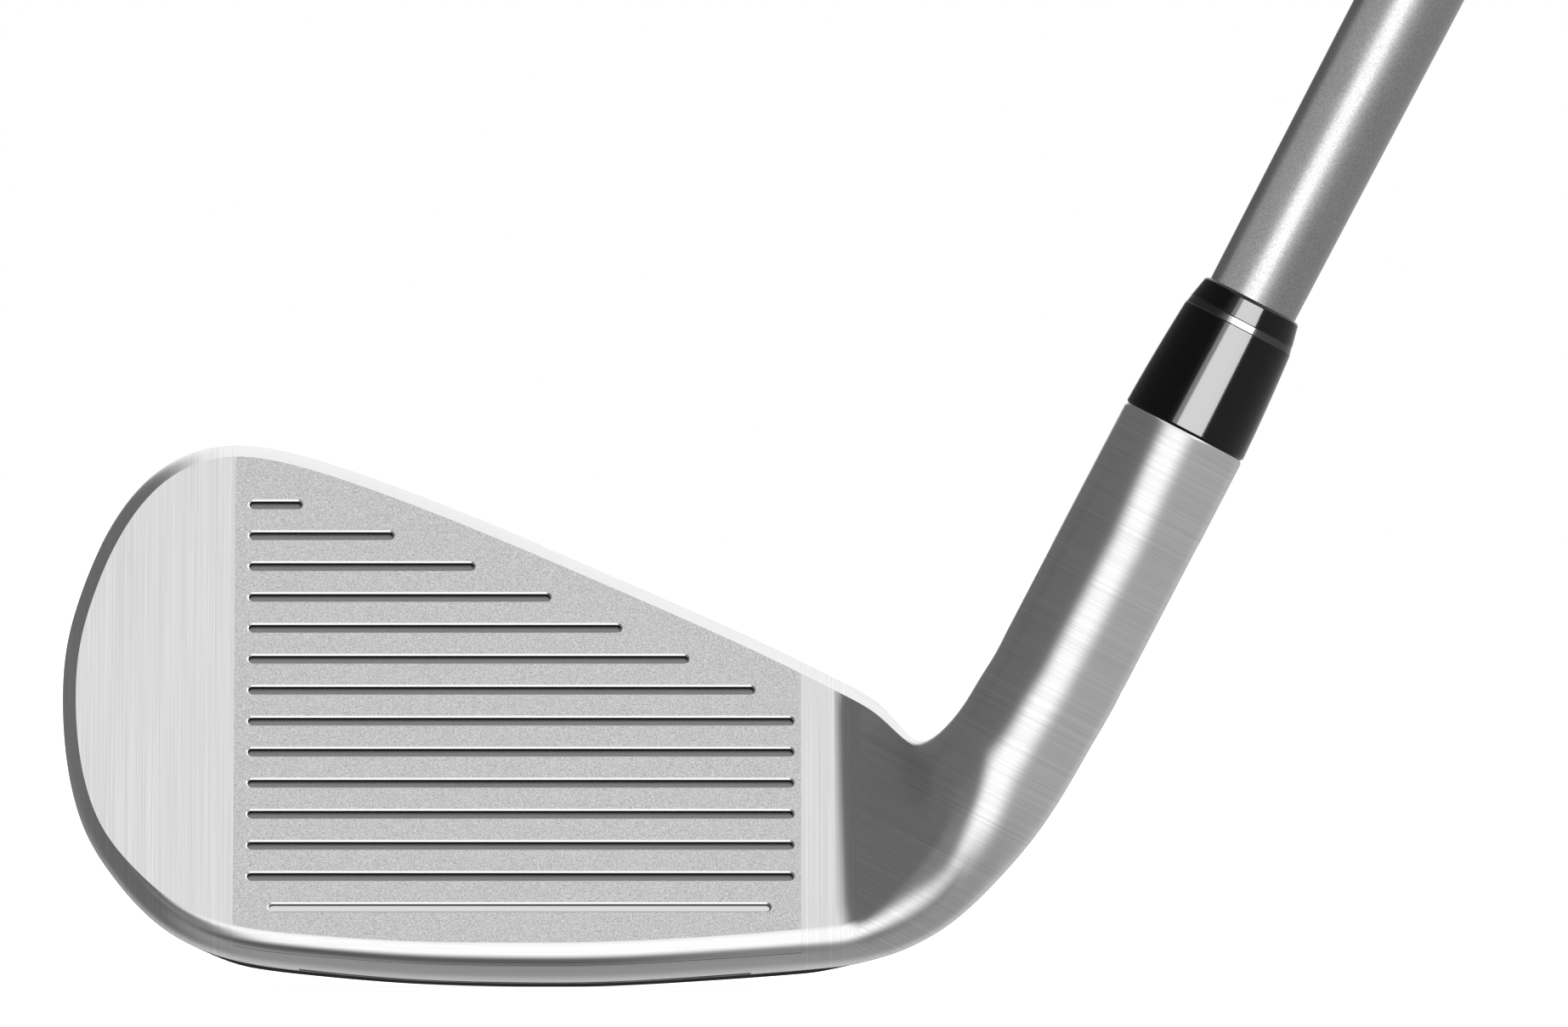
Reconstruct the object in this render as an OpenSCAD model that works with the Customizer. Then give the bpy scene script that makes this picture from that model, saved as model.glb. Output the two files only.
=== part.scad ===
// Iron golf club, right handed, middle iron, with a composite shaft and a slip-on rubber grip.
// Frame: +X towards the heel, -Y towards the target, +Z up. The sole rests on z = 0 at the origin,
// the face looks along -Y and up by the loft, and the shaft leans towards +X by the lie.

/* [Address] */
// Angle of the face back from vertical, degrees
loft = 31; // [30:0.5:32]
// Angle of the shaft above the ground, degrees
lie = 62.5; // [62.3:0.1:62.7]
// Length from the ground to the end of the grip, measured along the shaft
club_l = 940; // [900:5:990]

/* [Head] */
// Thickness of the face plate
plate_t = 1.6; // [1.5:0.1:1.8]
// Thickness of the topline, measured level from face to back
topline_t = 6; // [5.5:0.25:6.5]
// How much thicker the head is at its sole than at its topline, measured level
flare_t = 12; // [10:0.5:13]
// How far the black bar stands below the polished sole
bar_drop = 0.35; // [0.2:0.05:0.5]
// Thickness of the back cap, measured level
cap_t = 2; // [1.8:0.1:2.2]

/* [Score lines] */
// Distance between score lines, up the face
score_pitch = 3.6; // [3.5:0.02:3.64]
// Width of a score line
score_w = 0.85; // [0.7:0.05:0.9]
// Depth of a score line
score_d = 0.45; // [0.3:0.05:0.5]

/* [Hosel and ferrule] */
// Outer diameter of the hosel
hosel_d = 13; // [12.9:0.1:13.3]
// Height of the hosel's top above the ground, along the shaft
hosel_s = 62.4; // [60:0.2:64]
// Depth of the hosel's bore
bore_depth = 32; // [28:1:32]
// Thickness of the epoxy round the shaft's tip
glue_t = 0.1; // [0.05:0.01:0.12]
// Length of the whole ferrule
ferrule_l = 14.8; // [13:0.2:18]

/* [Shaft and grip] */
// Diameter of the shaft's parallel tip
tip_d = 9.4; // [9:0.1:9.4]
// Diameter of the shaft's parallel butt
butt_d = 15.2; // [14.6:0.1:15.6]
// Length of the grip, cap included
grip_l = 268; // [255:1:275]
// Diameter of the grip at its mouth
mouth_d = 18.4; // [18:0.1:19]
// Diameter of the grip at its cap
cap_d = 26.5; // [26:0.1:27.5]
// Diameter of the vent hole in the grip cap
vent_d = 3.6; // [3:0.1:4]

/* [Hidden] */

fine = 96;                      // facets of every turned surface
far = 200;                      // longer than anything that is cut
steel = "gainsboro";
blasted = "silver";
dark = "#2b2b2d";
rubber = "#1c1c1e";

lead_y = -12;                   // leading edge; it puts the bar under the sole across y = 0
face_foot = 3;                  // height at which the face plane crosses y = lead_y
axis_x = 35.3;                  // where the shaft's axis meets the ground
axis_y = lead_y + 3;

// ---- outline of the head, seen from the front ----
// Each row is [x, z, width of the strip between this outline and the flat face].
toe_tip = [-47.8, 29, 1.4];
top_side = [
    [-47.3, 34.6, 1.35], [-45.7, 40.1, 1.3], [-43, 46, 1.3], [-38.5, 51.35, 1.25],
    [-31.8, 53.95, 1.1], [-23.5, 52.85, 1.1], [-14, 49.65, 1.08], [-4, 45.7, 1.08],
    [6, 41.45, 1.08], [15.5, 37.3, 1.08], [23.5, 33.65, 1.08], [29.8, 30.55, 1.1],
    [33.7, 28.35, 1.1], [36.1, 25.85, 1], [37.9, 24.6, 0.9], [39.9, 25.55, 0.8],
    [42.1, 28.1, 0.8], [43.7, 30.7, 0.8], [45.2, 33.1, 0.8], [46.4, 35.4, 0.8]
];
sole_side = [
    [-47.35, 22.4, 1.5], [-45.7, 16, 1.8], [-42.6, 10.85, 2.3], [-37.7, 5.85, 3],
    [-31, 2.75, 3.5], [-23, 1.5, 3.75], [-13.5, 0.7, 3.95], [-4, 0.38, 4.12],
    [5.5, 0.38, 4.18], [14.5, 0.8, 4.15], [22.5, 1.35, 4.15], [30, 2.05, 4.2],
    [36, 3.4, 4.2], [41, 6.15, 4.2], [45, 9.9, 4], [48.6, 14.1, 4],
    [51.8, 18.7, 4], [54.6, 23.5, 4], [56.7, 27.1, 4], [57.9, 29.4, 4]
];
sides = len(top_side);
outline = concat([for (i = [sides - 1:-1:0]) sole_side[i]], [toe_tip], top_side);

// Edge profiles from the face to the back: [share of the strip or inset in mm, share of the depth].
// The first four points are one Bezier curve, and the last four are the next.
toe_edge = [[1, 0], [0.62, 0.17], [0.24, 0.36], [0, 0.55], [0, 0.78], [0.3, 0.96], [1.8, 1]];
top_edge = [[1, 0], [0.66, 0.13], [0.12, 0.28], [0, 0.48], [0, 0.67], [0.5, 0.93], [2, 1]];
sole_edge = [[1, 0], [0.68, 0], [0, 0.18], [0, 0.5], [0, 1.05], [2, 1.22], [8.5, 1]];

neck_start = 12;                // station at which the flat face ends
neck_end = 16.6;                // station from which the section is round
neck_rounding = [0.1, 0.5];     // share of the blend that is rounded off at each end
heel_start = 11;                // station from which the head thins towards the hosel
heel_end = 14.5;
heel_thin = 0.35;
neck_slack = 0.06;              // how far the cast neck stays inside the turned hosel

function clamp(a, low, high) = min(max(a, low), high);
function ease(a) = let (t = clamp(a, 0, 1)) t * t * (3 - 2 * t);
function mix(a, b, share) = a + (b - a) * share;

// Straight ramp from 0 to 1, rounded off over the first share "low" and the last share "high".
function ramp(a, low, high) =
    let (t = clamp(a, 0, 1), slope = 1 / (1 - low / 2 - high / 2))
    t < low ? slope * t * t / (2 * low)
    : t < 1 - high ? slope * (t - low / 2)
    : 1 - slope * (1 - t) * (1 - t) / (2 * high);

// Second derivatives of a natural cubic spline through p, found by relaxation.
function bend(p, m, turns) = turns == 0 ? m : bend(p, [
    for (i = [0:len(p) - 1])
        i == 0 || i == len(p) - 1 ? 0 * p[0]
        : (6 * (p[i - 1] - 2 * p[i] + p[i + 1]) - m[i - 1] - m[i + 1]) / 4
], turns - 1);
outline_bend = bend(outline, [for (p = outline) 0 * p], 24);

function spline(p, m, t) =
    let (i = clamp(floor(t), 0, len(p) - 2), f = t - i, g = 1 - f)
    g * p[i] + f * p[i + 1] + ((g * g * g - g) * m[i] + (f * f * f - f) * m[i + 1]) / 6;
function spline_slope(p, m, t) =
    let (i = clamp(floor(t), 0, len(p) - 2), f = t - i, g = 1 - f)
    p[i + 1] - p[i] + ((1 - 3 * g * g) * m[i] + (3 * f * f - 1) * m[i + 1]) / 6;
function bezier(p, t) = let (g = 1 - t)
    g * g * g * p[0] + 3 * g * g * t * p[1] + 3 * g * t * t * p[2] + t * t * t * p[3];

// Outline at station t: 0 is the toe tip, positive runs over the top and negative under the sole.
function rim(t) = spline(outline, outline_bend, sides + t);
function rim_in(t) = let (d = spline_slope(outline, outline_bend, sides + t), l = norm([d.x, d.y]))
    [d.y / l, -d.x / l];
function inset(t, by) = let (p = rim(t), n = rim_in(t)) [p.x + by * n.x, p.y + by * n.y];

// Level distances of the face plane and of the head's back at height z.
function face_y(z) = lead_y + (z - face_foot) * tan(loft);
function depth(z) = topline_t + flare_t * pow(clamp((44 - z) / 34.5, 0, 1), 1.3);
function back_y(z) = face_y(z) + depth(z);

// Height that the face and back planes see at station u: near the crotch it softly stops changing.
crotch = 13.5;
function crotch_stop(u) = u < crotch + 1 ? u - (u - crotch + 1) * (u - crotch + 1) / 4 : crotch;
function seen_z(u, z) = u <= crotch - 1 ? z
    : let (a = rim(-u).y, b = rim(u).y, share = clamp((z - a) / max(b - a, 1), 0, 1))
      mix(rim(-crotch_stop(u)).y, rim(crotch_stop(u)).y, share);

function edge_at(side, u) = side > 0
    ? mix(toe_edge, top_edge, ease((u - 0.5) / 4.5))
    : mix(toe_edge, sole_edge, ease((u - 0.3) / 3.7));
function edge_points(side, u, steps) =
    let (e = edge_at(side, u), strip = rim(side * u)[2],
         front = [for (i = [0:3]) [e[i].x * strip, e[i].y]],
         back = [front[3], e[4], e[5], e[6]],
         last = inset(side * u, e[6].x),
         d = depth(seen_z(u, last.y)) * (1 - heel_thin * ease((u - heel_start) / (heel_end - heel_start))))
    [for (i = [0:2 * steps])
        let (q = i <= steps ? bezier(front, i / steps) : bezier(back, (i - steps) / steps),
             p = inset(side * u, q.x))
        [p.x, face_y(seen_z(u, p.y)) + q.y * d, p.y]];

// Points across a surface of the head, from a to b, keeping the curve of the back.
function back_span(u, a, b, count) = count < 1 ? [] : [
    for (i = [1:count])
        let (share = i / (count + 1), p = mix(a, b, share),
             za = seen_z(u, a.z), zb = seen_z(u, b.z), z = seen_z(u, p.z))
        [p.x, p.y + back_y(z) - mix(back_y(za), back_y(zb), share), p.z]
];
function face_span(a, b, count) = [for (i = [1:count]) mix(a, b, i / (count + 1))];

// Where the blade's edges run out on the round neck, in degrees from its front: leading edge, front
// of the top line, its back, back of the sole, and the leading edge again.
ring_corners = [2, 65, 135, 225, 362];

// One closed section of the head: up the face, over the top, down the back and under the sole.
function blade_section(u, steps, span) =
    let (top = edge_points(1, u, steps), low = edge_points(-1, u, steps))
    concat(face_span(low[0], top[0], span), top,
           back_span(u, top[2 * steps], low[2 * steps], span),
           [for (i = [2 * steps:-1:0]) low[i]]);
function round_section(u, steps, span) =
    let (a = rim(-u), b = rim(u), r = hosel_d / 2 - neck_slack,
         c = ring_corners,
         turn = concat([for (i = [1:span]) mix(c[0], c[1], i / (span + 1))],
                       [for (i = [0:2 * steps]) mix(c[1], c[2], i / (2 * steps))],
                       [for (i = [1:span]) mix(c[2], c[3], i / (span + 1))],
                       [for (i = [0:2 * steps]) mix(c[3], c[4], i / (2 * steps))]))
    [for (t = turn) let (share = 0.5 + r / hosel_d * sin(t))
        [mix(a.x, b.x, share), axis_y - r * cos(t), mix(a.y, b.y, share)]];
function head_section(u, steps, span) =
    let (w = ramp((u - neck_start) / (neck_end - neck_start), neck_rounding[0], neck_rounding[1]),
         blade = blade_section(u, steps, span), ring = round_section(u, steps, span))
    [for (i = [0:len(blade) - 1]) mix(blade[i], ring[i], w)];

// Closed skin of the whole head, from the toe to the start of the hosel.
module head_skin(steps = 5, span = 2) {
    stations = concat([0.12, 0.35, 0.7], [for (u = [1:0.5:sides]) u]);
    rings = [for (u = stations) head_section(u, steps, span)];
    n = len(rings[0]);
    last = len(rings) - 1;
    top = span;                         // index of the first point of the top edge
    low = n - 1;                        // index of the first point of the sole edge
    toe_cap = [for (i = [0:2 * steps - 1])
        i == 0 ? concat([for (k = [span - 1:-1:0]) k], [low, low - 1, top + 1, top])
        : i < 2 * steps - 1 ? [low - i, low - i - 1, top + i + 1, top + i]
        : concat([low - i, low - i - 1], [for (k = [span:-1:1]) top + 2 * steps + k],
                 [top + i + 1, top + i])];
    side_faces = [for (r = [0:last - 1], i = [0:n - 1])
        let (j = (i + 1) % n) [r * n + i, r * n + j, (r + 1) * n + j, (r + 1) * n + i]];
    end_cap = [for (i = [0:n - 1]) last * n + i];
    polyhedron([for (r = rings) each r], concat(toe_cap, side_faces, [end_cap]), convexity = 8);
}

// ---- places on the head ----
// Stands its children on the face plane: local x along the score lines, y up the face, z out of it.
module on_face() translate([0, lead_y, face_foot]) rotate([90 - loft, 0, 0]) children();

// Draws an outline of [x, z] points seen from the front, and gives it depth from y = from to y = to.
module front_prism(points, from, to)
    translate([0, to, 0]) rotate([90, 0, 0]) linear_extrude(to - from) polygon(points);

// Stands its children on the shaft's axis: local z along the shaft, with 0 where it meets the ground.
module on_shaft(s = 0)
    translate([axis_x, axis_y, 0]) rotate([0, 90 - lie, 0]) translate([0, 0, s]) children();

// ---- head: the face plate and its seat ----
plate_x = [-30.6, 26];          // toe and heel edges of the plate
plate_edge = 1.1;               // strip of topline left above the plate
plate_span = [for (t = [4.6:0.3:12.1]) inset(t, plate_edge)];

// Everything in the plate's seat, in front of the body: it runs out through the leading edge.
module plate_seat() {
    front = [for (p = plate_span) [p.x, (p.y - face_foot) / cos(loft)]];
    on_face() translate([0, 0, -plate_t]) linear_extrude(2 * plate_t) intersection() {
        polygon(concat(front, [[front[len(front) - 1].x, -far], [front[0].x, -far]]));
        translate([plate_x[0], -far]) square([plate_x[1] - plate_x[0], 2 * far]);
    }
}

score_top = 48.1;               // height of the top score line's middle
score_left = -29.2;
score_right = [-24, -14.8, -6.7, 0.9, 8, 14.7, 21.3, 25.2, 25.2, 25.2, 25.2, 25.2, 25.2];
foot_line = [-27, 22.9];        // toe and heel ends of the lowest line, which is cut shallower
foot_line_d = 0.15;

module score_line(row, left, right, depth) {
    v = (score_top - face_foot) / cos(loft) - row * score_pitch;
    r = score_w / 2;
    on_face() translate([0, v, -depth]) linear_extrude(2 * depth) {
        translate([left + r, -r]) square([right - left - score_w, score_w]);
        for (x = [left + r, right - r]) translate([x, 0]) circle(r, $fn = 32);
    }
}

module face_plate() color(blasted) difference() {
    intersection() {
        head_skin();
        plate_seat();
    }
    for (row = [0:len(score_right) - 1]) score_line(row, score_left, score_right[row], score_d);
    score_line(len(score_right), foot_line[0], foot_line[1], foot_line_d);
}

// ---- head: the hollow back ----
// Outline of the hollow, or of a wider or narrower one that is "grow" mm larger all round.
hollow_top = [6.2, 10.7];       // toe and heel stations of its upper edge
hollow_low = [5.7, 11.2];       // and of its lower edge
hollow_wall = [4.8, 10.4];      // distance of those edges from the rim
hollow_round = 2.4;             // how far its corners are cut back
function hollow(grow) = rounded(concat(
    [for (i = [0:9]) inset(mix(hollow_top[0], hollow_top[1], i / 9), hollow_wall[0] - grow)
        + [i == 0 ? -grow : i == 9 ? grow : 0, 0]],
    [for (i = [11:-1:0]) inset(-mix(hollow_low[0], hollow_low[1], i / 11), hollow_wall[1] - grow)
        + [i == 0 ? -grow : i == 11 ? grow : 0, 0]]
), hollow_round);

// The outline again, with each sharp corner replaced by a curve that starts "cut" mm before it.
function rounded(points, cut) = let (n = len(points)) [
    for (i = [0:n - 1])
        let (p = points[i], a = points[(i + n - 1) % n] - p, b = points[(i + 1) % n] - p,
             from = p + a * cut / norm(a), to = p + b * cut / norm(b))
        each a * b > -0.9 * norm(a) * norm(b)
            ? [for (t = [0:0.25:1]) mix(mix(from, p, t), mix(p, to, t), t)] : [p]
];
ledge_w = 1.8;                  // width of the ledge on which the cap is glued
tape_t = 0.3;                   // thickness of the cap's adhesive and of the badge's
cap_gap = 0.1;                  // gap round the cap, a groove seen from behind
behind = 60;                    // y of a plane behind the whole head

// The head's skin, moved level towards the face by "by".
module skin_forward(by) translate([0, -by, 0]) head_skin();

// What is left of a prism behind the head's back, once that is moved towards the face by "by".
module back_layer(points, by) difference() {
    front_prism(points, 0, behind);
    skin_forward(by);
}

module back_cap() color(dark) difference() {
    intersection() {
        head_skin();
        back_layer(hollow(ledge_w - cap_gap), cap_t);
    }
    badge_block(badge_sink, 0);
}

module cap_adhesive() color(rubber) difference() {
    intersection() {
        skin_forward(cap_t);
        back_layer(hollow(ledge_w - cap_gap), cap_t + tape_t);
    }
    front_prism(hollow(0), -behind, behind);
}

// ---- head: the badge on the cap ----
badge_at = [-1, 18.5];          // middle of the badge, seen from behind
badge_size = [34, 12];
badge_round = 3;
badge_sink = 0.9;               // depth of its recess in the cap
badge_proud = 0.4;              // how far it stands out of the cap
badge_lean = atan((back_y(badge_at.y + 4) - back_y(badge_at.y - 4)) / 8);

// A rounded slab along the cap's back, from "sink" below its surface to "proud" above it.
module badge_block(sink, proud)
    translate([badge_at.x, back_y(badge_at.y) + proud, badge_at.y]) rotate([90 - badge_lean, 0, 0])
    linear_extrude(sink + proud) {
        square([badge_size.x, badge_size.y - 2 * badge_round], center = true);
        square([badge_size.x - 2 * badge_round, badge_size.y], center = true);
        for (x = [-1, 1], y = [-1, 1])
            translate([x * (badge_size.x / 2 - badge_round), y * (badge_size.y / 2 - badge_round)])
                circle(badge_round, $fn = 48);
    }
module badge_tape() color(rubber) badge_block(badge_sink, tape_t - badge_sink);
module badge_plate() color("darkgray") badge_block(badge_sink - tape_t, badge_proud);

// ---- head: sole ----
bar_y = [-3, 3];                // front and back of the black bar
bar_ends = [4.5, 12.3];         // stations of its toe and heel ends
bar_h = 2.6;                    // height of the bar above the polished sole
bar_step = 0.06;                // how far its ends stand below the sole
slot_x = [-24, 21];
slot_y = [-6.6, -5.4];

module bar_shape() {
    stations = [for (i = [0:26]) mix(bar_ends[0], bar_ends[1], i / 26)];
    lower = [for (t = stations)
        let (step = ease((t - bar_ends[0]) / 0.8) * ease((bar_ends[1] - t) / 0.8))
        inset(-t, -mix(bar_step, bar_drop, step))];
    upper = [for (i = [26:-1:0]) inset(-stations[i], bar_h)];
    intersection() {
        front_prism(concat(lower, upper), bar_y[0], bar_y[1]);
        translate([-far / 2, -far / 2, 0]) cube(far);
    }
}
module rear_sole_bar() color(dark) bar_shape();

module sole_slot() translate([slot_x[0], slot_y[0], -1])
    cube([slot_x[1] - slot_x[0], slot_y[1] - slot_y[0], 12]);
module sole_slot_insert() color(rubber) intersection() {
    head_skin();
    difference() {
        sole_slot();
        plate_seat();
        front_prism(hollow(0), -behind, behind);
    }
}

// ---- head: what is inside ----
weight_r = 5;
weight_x = [-39, -26.5];
weight_at = [lead_y + 13.5, 14.4];
module slug(to) translate([weight_x[0], weight_at[0], weight_at[1]]) rotate([0, 90, 0])
    cylinder(to - weight_x[0], weight_r, weight_r, $fn = fine);
module toe_weight() color("dimgray") slug(weight_x[1]);

damper_x = [-20, 17];
damper_v = [13.6, 19.6];            // lower and upper edge, up the face
damper_t = 5;
damper_slots = 4;
module face_damper() color(rubber) on_face() difference() {
    translate([damper_x[0], damper_v[0], -plate_t - damper_t])
        cube([damper_x[1] - damper_x[0], damper_v[1] - damper_v[0], damper_t]);
    for (i = [1:damper_slots])
        translate([mix(damper_x[0], damper_x[1], i / (damper_slots + 1)) - 1, damper_v[0] - 1,
                   -plate_t - 2.5])
            cube([2, damper_v[1] - damper_v[0] + 2, 5]);
}

// ---- head: body ----
neck_s = 35.2;                    // where the turned hosel starts, inside the cast neck
bore_s = hosel_s - bore_depth;
bore_d = tip_d + 2 * glue_t;
hosel_edge = 0.4;               // chamfer round the hosel's top

module head_body() color(steel) difference() {
    union() {
        head_skin();
        on_shaft(neck_s)
            cylinder(hosel_s - neck_s - hosel_edge, d = hosel_d, $fn = fine);
        on_shaft(hosel_s - hosel_edge)
            cylinder(hosel_edge, d1 = hosel_d, d2 = hosel_d - hosel_edge, $fn = fine);
    }
    on_shaft(bore_s) cylinder(bore_depth + 1, d = bore_d, $fn = fine);
    plate_seat();
    difference() {
        front_prism(hollow(0), -behind, behind);
        on_face() translate([-far / 2, -far / 2, -plate_t]) cube(far);
    }
    back_layer(hollow(ledge_w), cap_t + tape_t);
    bar_shape();
    sole_slot();
    slug(weight_x[1] + 4);
}

// ---- hosel, ferrule and shaft ----
seat = 0.3;                     // glue under the shaft's tip
tip_s = bore_s + seat;
ferrule_top_s = hosel_s + ferrule_l;
collar_l = ferrule_l - 3.15;    // black part below the ring
ring_l = 0.75;
collar_d = 11.7;                // outside, where the collar meets the ring
neck_d = 10.3;                  // outside, at the ferrule's top
bulge = 0.3;                    // how far the ferrule's side swells past a straight cone
ferrule_round = 0.5;

module hosel_epoxy() color("tan") on_shaft(bore_s) difference() {
    cylinder(bore_depth, d = bore_d, $fn = fine);
    translate([0, 0, seat]) cylinder(bore_depth, d = tip_d, $fn = fine);
}

// Radius of the ferrule at height h above the hosel.
function ferrule_r(h) = h < collar_l
    ? mix(hosel_d, collar_d, h / collar_l) / 2 + bulge * 4 * h * (collar_l - h) / pow(2 * collar_l, 2)
    : mix(collar_d, neck_d, (h - collar_l) / (ferrule_l - collar_l)) / 2;

// A sleeve round the shaft with the ferrule's outline, from height a to height b.
module ferrule_part(a, b, sink = 0, steps = 8) on_shaft(hosel_s) rotate_extrude($fn = fine)
    polygon(concat([[tip_d / 2, a]],
                   [for (i = [0:steps]) let (h = mix(a, b, i / steps)) [ferrule_r(h) - sink, h]],
                   [[tip_d / 2, b]]));

module ferrule_collar() color("black") ferrule_part(0, collar_l);
module ferrule_ring() color("silver") ferrule_part(collar_l, collar_l + ring_l, sink = 0.05, steps = 1);
module ferrule_top() color("black") {
    straight_end = ferrule_l - ferrule_round;
    ferrule_part(collar_l + ring_l, straight_end, steps = 2);
    on_shaft(hosel_s) rotate_extrude($fn = fine) polygon(concat(
        [[tip_d / 2, straight_end]],
        [for (a = [0:15:75]) [ferrule_r(straight_end) - ferrule_round * (1 - cos(a)),
                              straight_end + ferrule_round * sin(a)]],
        [[tip_d / 2, ferrule_l - 0.02]]));
}

butt_s = club_l - 5;            // end of the shaft, inside the grip cap
grip_s = club_l - grip_l;       // mouth of the grip
taper = [[tip_s, tip_d], [ferrule_top_s, tip_d], [250, 11.4], [grip_s - 20, butt_d], [butt_s, butt_d]];
tip_wall = 2;
butt_wall = 1.2;
tip_edge = 0.5;                 // chamfer round the tip

module shaft_tube() color("silver") on_shaft() rotate_extrude($fn = fine) polygon(concat(
    [[taper[0].y / 2 - tip_edge, tip_s], [taper[0].y / 2, tip_s + tip_edge]],
    [for (i = [1:4]) [taper[i].y / 2, taper[i].x]],
    [[butt_d / 2 - butt_wall, butt_s], [butt_d / 2 - butt_wall, grip_s - 20],
     [11.4 / 2 - tip_wall, 250], [tip_d / 2 - tip_wall, ferrule_top_s], [tip_d / 2 - tip_wall, tip_s]]));

plug_l = 14;
weight_l = 18;
inner_tip_d = tip_d - 2 * tip_wall;
module tip_weight() color("goldenrod") on_shaft(tip_s) cylinder(weight_l, d = inner_tip_d, $fn = fine);
module tip_plug() color("ivory") on_shaft(tip_s + weight_l) cylinder(plug_l, d = inner_tip_d, $fn = fine);

// ---- grip ----
wrap_t = 0.15;                  // thickness of the grip tape
cap_l = 6;                      // length of the moulded end cap
lip_l = 3;                      // length of the thicker lip at the mouth
core_d = butt_d + 2 * wrap_t;
sleeve_end_s = club_l - cap_l;

module grip_tape() color("tan") on_shaft(grip_s + lip_l) difference() {
    cylinder(butt_s - grip_s - lip_l - 1, d = core_d, $fn = fine);
    translate([0, 0, -1]) cylinder(far * 2, d = butt_d, $fn = fine);
}

// Outer diameter of the grip at the share f of its length, thicker towards the cap.
function grip_d(f) = mix(mouth_d, cap_d, 0.62 * f + 0.38 * pow(f, 3));

module grip_sleeve() color(rubber) on_shaft() rotate_extrude($fn = fine) polygon(concat(
    [[core_d / 2, grip_s], [mouth_d / 2 - 0.3, grip_s], [mouth_d / 2, grip_s + 0.6]],
    [for (i = [0:16]) let (f = i / 16)
        [grip_d(f) / 2, mix(grip_s + lip_l, sleeve_end_s, f)]],
    [[core_d / 2, sleeve_end_s]]));

module grip_cap() color(dark) on_shaft() difference() {
    rotate_extrude($fn = fine) polygon(concat(
        [[0, sleeve_end_s], [cap_d / 2, sleeve_end_s]],
        [for (a = [0:15:90]) [cap_d / 2 - 2.5 * (1 - cos(a)), club_l - 3 + 2.5 * sin(a)]],
        [[cap_d / 4, club_l - 0.1], [0, club_l]]));
    translate([0, 0, sleeve_end_s - 1]) cylinder(butt_s - sleeve_end_s + 1, d = core_d, $fn = fine);
    translate([0, 0, sleeve_end_s]) cylinder(cap_l + 1, d = vent_d, $fn = fine);
}

head_body();
face_plate();
sole_slot_insert();
rear_sole_bar();
toe_weight();
face_damper();
cap_adhesive();
back_cap();
badge_tape();
badge_plate();
hosel_epoxy();
tip_weight();
tip_plug();
ferrule_collar();
ferrule_ring();
ferrule_top();
shaft_tube();
grip_tape();
grip_sleeve();
grip_cap();
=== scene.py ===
"""Right-handed middle iron: cast head with a blasted face plate, ferrule, silver shaft and rubber grip.

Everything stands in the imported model's frame: metres, -Y towards the target, +X towards the heel and
+Z up, with the sole resting on z = 0 at the origin. Shapes are worked out in millimetres, as a maker
would, and are scaled to metres once they are finished.
"""
import logging
import math
from dataclasses import dataclass, field
from enum import Enum
from typing import Iterable, Sequence

import bmesh
import bpy
from mathutils import Matrix, Vector


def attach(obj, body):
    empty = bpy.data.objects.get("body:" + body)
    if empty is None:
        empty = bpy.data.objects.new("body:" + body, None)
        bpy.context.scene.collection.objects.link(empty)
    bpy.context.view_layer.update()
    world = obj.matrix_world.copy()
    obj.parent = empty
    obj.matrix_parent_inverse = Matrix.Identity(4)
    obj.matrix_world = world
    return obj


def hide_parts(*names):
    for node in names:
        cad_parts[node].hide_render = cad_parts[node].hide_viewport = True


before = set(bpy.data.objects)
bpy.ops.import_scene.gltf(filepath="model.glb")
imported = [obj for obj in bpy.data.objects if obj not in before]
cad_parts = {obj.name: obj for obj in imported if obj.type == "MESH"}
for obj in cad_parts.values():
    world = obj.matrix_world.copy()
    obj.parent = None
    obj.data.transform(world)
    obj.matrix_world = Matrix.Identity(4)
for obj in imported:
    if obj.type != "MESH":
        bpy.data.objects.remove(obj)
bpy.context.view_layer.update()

LOG = logging.getLogger("iron")
MM = 0.001
BODY = "root"

Profile = list[tuple[float, float]]


# ---------------------------------------------------------------- numbers and curves

def clamp(a: float, low: float = 0.0, high: float = 1.0) -> float:
    """Returns a, kept between low and high."""
    return min(max(a, low), high)


def ease(a: float) -> float:
    """Returns a smooth step from 0 to 1 as a goes from 0 to 1."""
    t = clamp(a)
    return t * t * (3 - 2 * t)


def ramp(t: float, start: float, end: float) -> float:
    """Returns a straight ramp from 0 to 1 over t, rounded at its start and at its end.

    Args:
        t: How far along the ramp.
        start: Share of the ramp over which it starts.
        end: Share over which it ends.
    """
    t = clamp(t)
    slope = 1 / (1 - start / 2 - end / 2)
    if t < start:
        return slope * t * t / (2 * start)
    if t < 1 - end:
        return slope * (t - start / 2)
    return 1 - slope * (1 - t) ** 2 / (2 * end)


def mix(a, b, share: float):
    """Returns the number or vector that lies at this share of the way from a to b."""
    return a + (b - a) * share


def bezier(p: Sequence[Vector], t: float) -> Vector:
    """Returns the point at t on the cubic curve with these four control points."""
    g = 1 - t
    return g * g * g * p[0] + 3 * g * g * t * p[1] + 3 * g * t * t * p[2] + t * t * t * p[3]


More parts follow.
